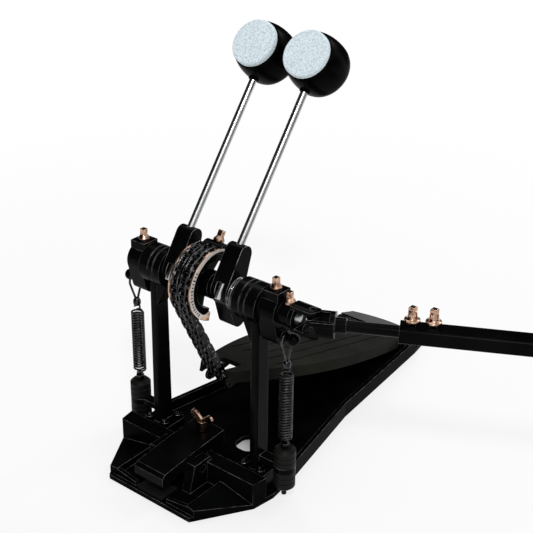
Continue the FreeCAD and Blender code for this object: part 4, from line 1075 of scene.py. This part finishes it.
class PEDAL_OT_stage(bpy.types.Operator):
    """Make the floor, the white surround, the lamps, the cards and the camera"""

    bl_idname = "pedal.stage"
    bl_label = "Stage"

    def execute(self, context):
        stage_floor()
        white_surround()
        for lamp in LAMPS:
            soft_lamp(*lamp)
        for card in CARDS:
            studio_card(*card)
        photo_camera()
        context.scene.view_settings.view_transform = "Standard"
        return {"FINISHED"}


# Stage


def stage_mesh(name, points, faces, tone):
    """A matte mesh of the stage."""
    mesh = bpy.data.meshes.new(name)
    mesh.from_pydata(points, [], faces)
    piece = bpy.data.objects.new(name, mesh)
    bpy.context.scene.collection.objects.link(piece)
    material = bpy.data.materials.new(name)
    material.use_nodes = True
    set_sockets(material.node_tree.nodes["Principled BSDF"], Base_Color=solid(tone), Roughness=STAGE_ROUGH,
                Specular_IOR_Level=0.0)
    mesh.materials.append(material)
    return piece


def seen_directly(tree):
    """1 where a camera, mirror or glass ray sees the surface."""
    path = tree.nodes.new("ShaderNodeLightPath")
    bright = math_node(tree, "MAXIMUM", path.outputs["Is Camera Ray"], path.outputs["Is Glossy Ray"])
    return math_node(tree, "MAXIMUM", bright, path.outputs["Is Transmission Ray"])


def distance_from(tree, centre):
    """Distance of the shaded point from a place on the stage."""
    reach = tree.nodes.new("ShaderNodeVectorMath")
    reach.operation = "DISTANCE"
    reach.inputs[1].default_value = centre
    tree.links.new(own_place(tree), reach.inputs[0])
    return reach.outputs["Value"]


def stage_floor():
    """A wide pale floor that keeps the object's shadow."""
    scene = bpy.context.scene
    half = scene.pedal_camera.floor_half
    corners = [(a * half, b * half, 0) for a, b in CORNERS]
    floor = stage_mesh("studio_floor", corners, [(0, 1, 2, 3)], scene.pedal_colours.floor)
    tree = floor.data.materials[0].node_tree
    shader = tree.nodes["Principled BSDF"]
    glow = add_node(tree, "ShaderNodeEmission", Color=(1, 1, 1, 1), Strength=1.0)
    mix = tree.nodes.new("ShaderNodeMixShader")
    away = ramp_between(tree, distance_from(tree, node_centre("base_plate")), WHITE_REACH)
    white = math_node(tree, "ADD", math_node(tree, "MULTIPLY", away, 1 - NEAR_WHITE), NEAR_WHITE)
    # In the base's opening the floor shows only the light that falls on it
    outside = ramp_between(tree, distance_from(tree, scene.pedal_camera.opening), OPENING_EDGE)
    share = math_node(tree, "MULTIPLY", white, outside)
    tree.links.new(math_node(tree, "MULTIPLY", seen_directly(tree), share), mix.inputs[0])
    tree.links.new(shader.outputs["BSDF"], mix.inputs[1])
    tree.links.new(glow.outputs["Emission"], mix.inputs[2])
    set_sockets(tree.nodes["Material Output"], Surface=mix.outputs["Shader"])


def white_surround():
    """White to the eye and to mirrors, softer as light."""
    world = bpy.data.worlds.new("studio")
    bpy.context.scene.world = world
    world.use_nodes = True
    tree = world.node_tree
    extra = math_node(tree, "MULTIPLY", seen_directly(tree), 1 - SKY_LIGHT)
    strength = math_node(tree, "ADD", extra, SKY_LIGHT)
    set_sockets(tree.nodes["Background"], Color=(1, 1, 1, 1), Strength=strength)


def soft_lamp(name, place, target, size, power):
    """A square soft box aimed at a point."""
    lamp = bpy.data.lights.new(name, "AREA")
    lamp.size = size
    lamp.energy = power
    holder = bpy.data.objects.new(name, lamp)
    bpy.context.scene.collection.objects.link(holder)
    holder.location = place
    way = Vector(target) - Vector(place)
    holder.rotation_euler = way.to_track_quat("-Z", "Y").to_euler()


def studio_card(name, plan, height, tone):
    """An upright card beside the stage, seen only in mirror-bright surfaces."""
    points = [(x, y, z) for x, y in plan for z in (0, height)]
    faces = [(2 * i, 2 * i + 2, 2 * i + 3, 2 * i + 1) for i in range(len(plan) - 1)]
    card = stage_mesh(name, points, faces, tone)
    card.visible_camera = False
    card.visible_diffuse = False
    card.visible_shadow = False


def photo_camera():
    """The camera at the photograph's viewing angle."""
    scene = bpy.context.scene
    view = scene.pedal_camera
    back = Vector(view.back).normalized()
    right = UP.cross(back).normalized()
    over = back.cross(right)
    tilted = right * math.cos(view.roll) + over * math.sin(view.roll)
    upright = over * math.cos(view.roll) - right * math.sin(view.roll)
    lens = bpy.data.cameras.new("photo camera")
    lens.lens = view.lens
    lens.sensor_width = 36
    lens.sensor_fit = "HORIZONTAL"
    lens.shift_x = view.shift_x
    lens.shift_y = view.shift_y
    lens.clip_end = 200
    camera = bpy.data.objects.new("photo_camera", lens)
    scene.collection.objects.link(camera)
    turn = Matrix((tilted, upright, back)).transposed().to_4x4()
    camera.matrix_world = Matrix.Translation(view.eye) @ turn
    scene.camera = camera


# Panel and registration


class PEDAL_PT_panel(bpy.types.Panel):
    """Lists the pedal's pieces"""

    bl_idname = "PEDAL_PT_panel"
    bl_label = "Double bass drum pedal"
    bl_space_type = "VIEW_3D"
    bl_region_type = "UI"
    bl_category = "Pedal"

    def draw(self, context):
        for operator in PIECES:
            self.layout.operator(operator.bl_idname)


PIECES = (
    PEDAL_OT_finish_frame,
    PEDAL_OT_felts,
    PEDAL_OT_beater_heads,
    PEDAL_OT_springs,
    PEDAL_OT_spring_links,
    PEDAL_OT_beater_rods,
    PEDAL_OT_tube_bolts,
    PEDAL_OT_clamp_spring,
    PEDAL_OT_hoop_pad,
    PEDAL_OT_flanges,
    PEDAL_OT_flange_ticks,
    PEDAL_OT_stage,
)
SETTINGS = {"pedal_colours": PedalColours, "pedal_sizes": PedalSizes, "pedal_camera": PedalCamera}


def register():
    """Register the settings, the operators and the panel."""
    for name, group in SETTINGS.items():
        bpy.utils.register_class(group)
        setattr(bpy.types.Scene, name, bpy.props.PointerProperty(type=group))
    for item in PIECES + (PEDAL_PT_panel,):
        bpy.utils.register_class(item)


def unregister():
    """Take everything out again."""
    for item in reversed(PIECES + (PEDAL_PT_panel,)):
        bpy.utils.unregister_class(item)
    for name, group in SETTINGS.items():
        delattr(bpy.types.Scene, name)
        bpy.utils.unregister_class(group)


def main():
    """Make every piece in order."""
    register()
    bpy.ops.pedal.finish_frame()
    bpy.ops.pedal.felts()
    bpy.ops.pedal.beater_heads()
    bpy.ops.pedal.springs()
    bpy.ops.pedal.spring_links()
    bpy.ops.pedal.beater_rods()
    bpy.ops.pedal.tube_bolts()
    bpy.ops.pedal.clamp_spring()
    bpy.ops.pedal.hoop_pad()
    bpy.ops.pedal.flanges()
    bpy.ops.pedal.flange_ticks()
    bpy.ops.pedal.stage()
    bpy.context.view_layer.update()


if __name__ == "__main__":
    main()
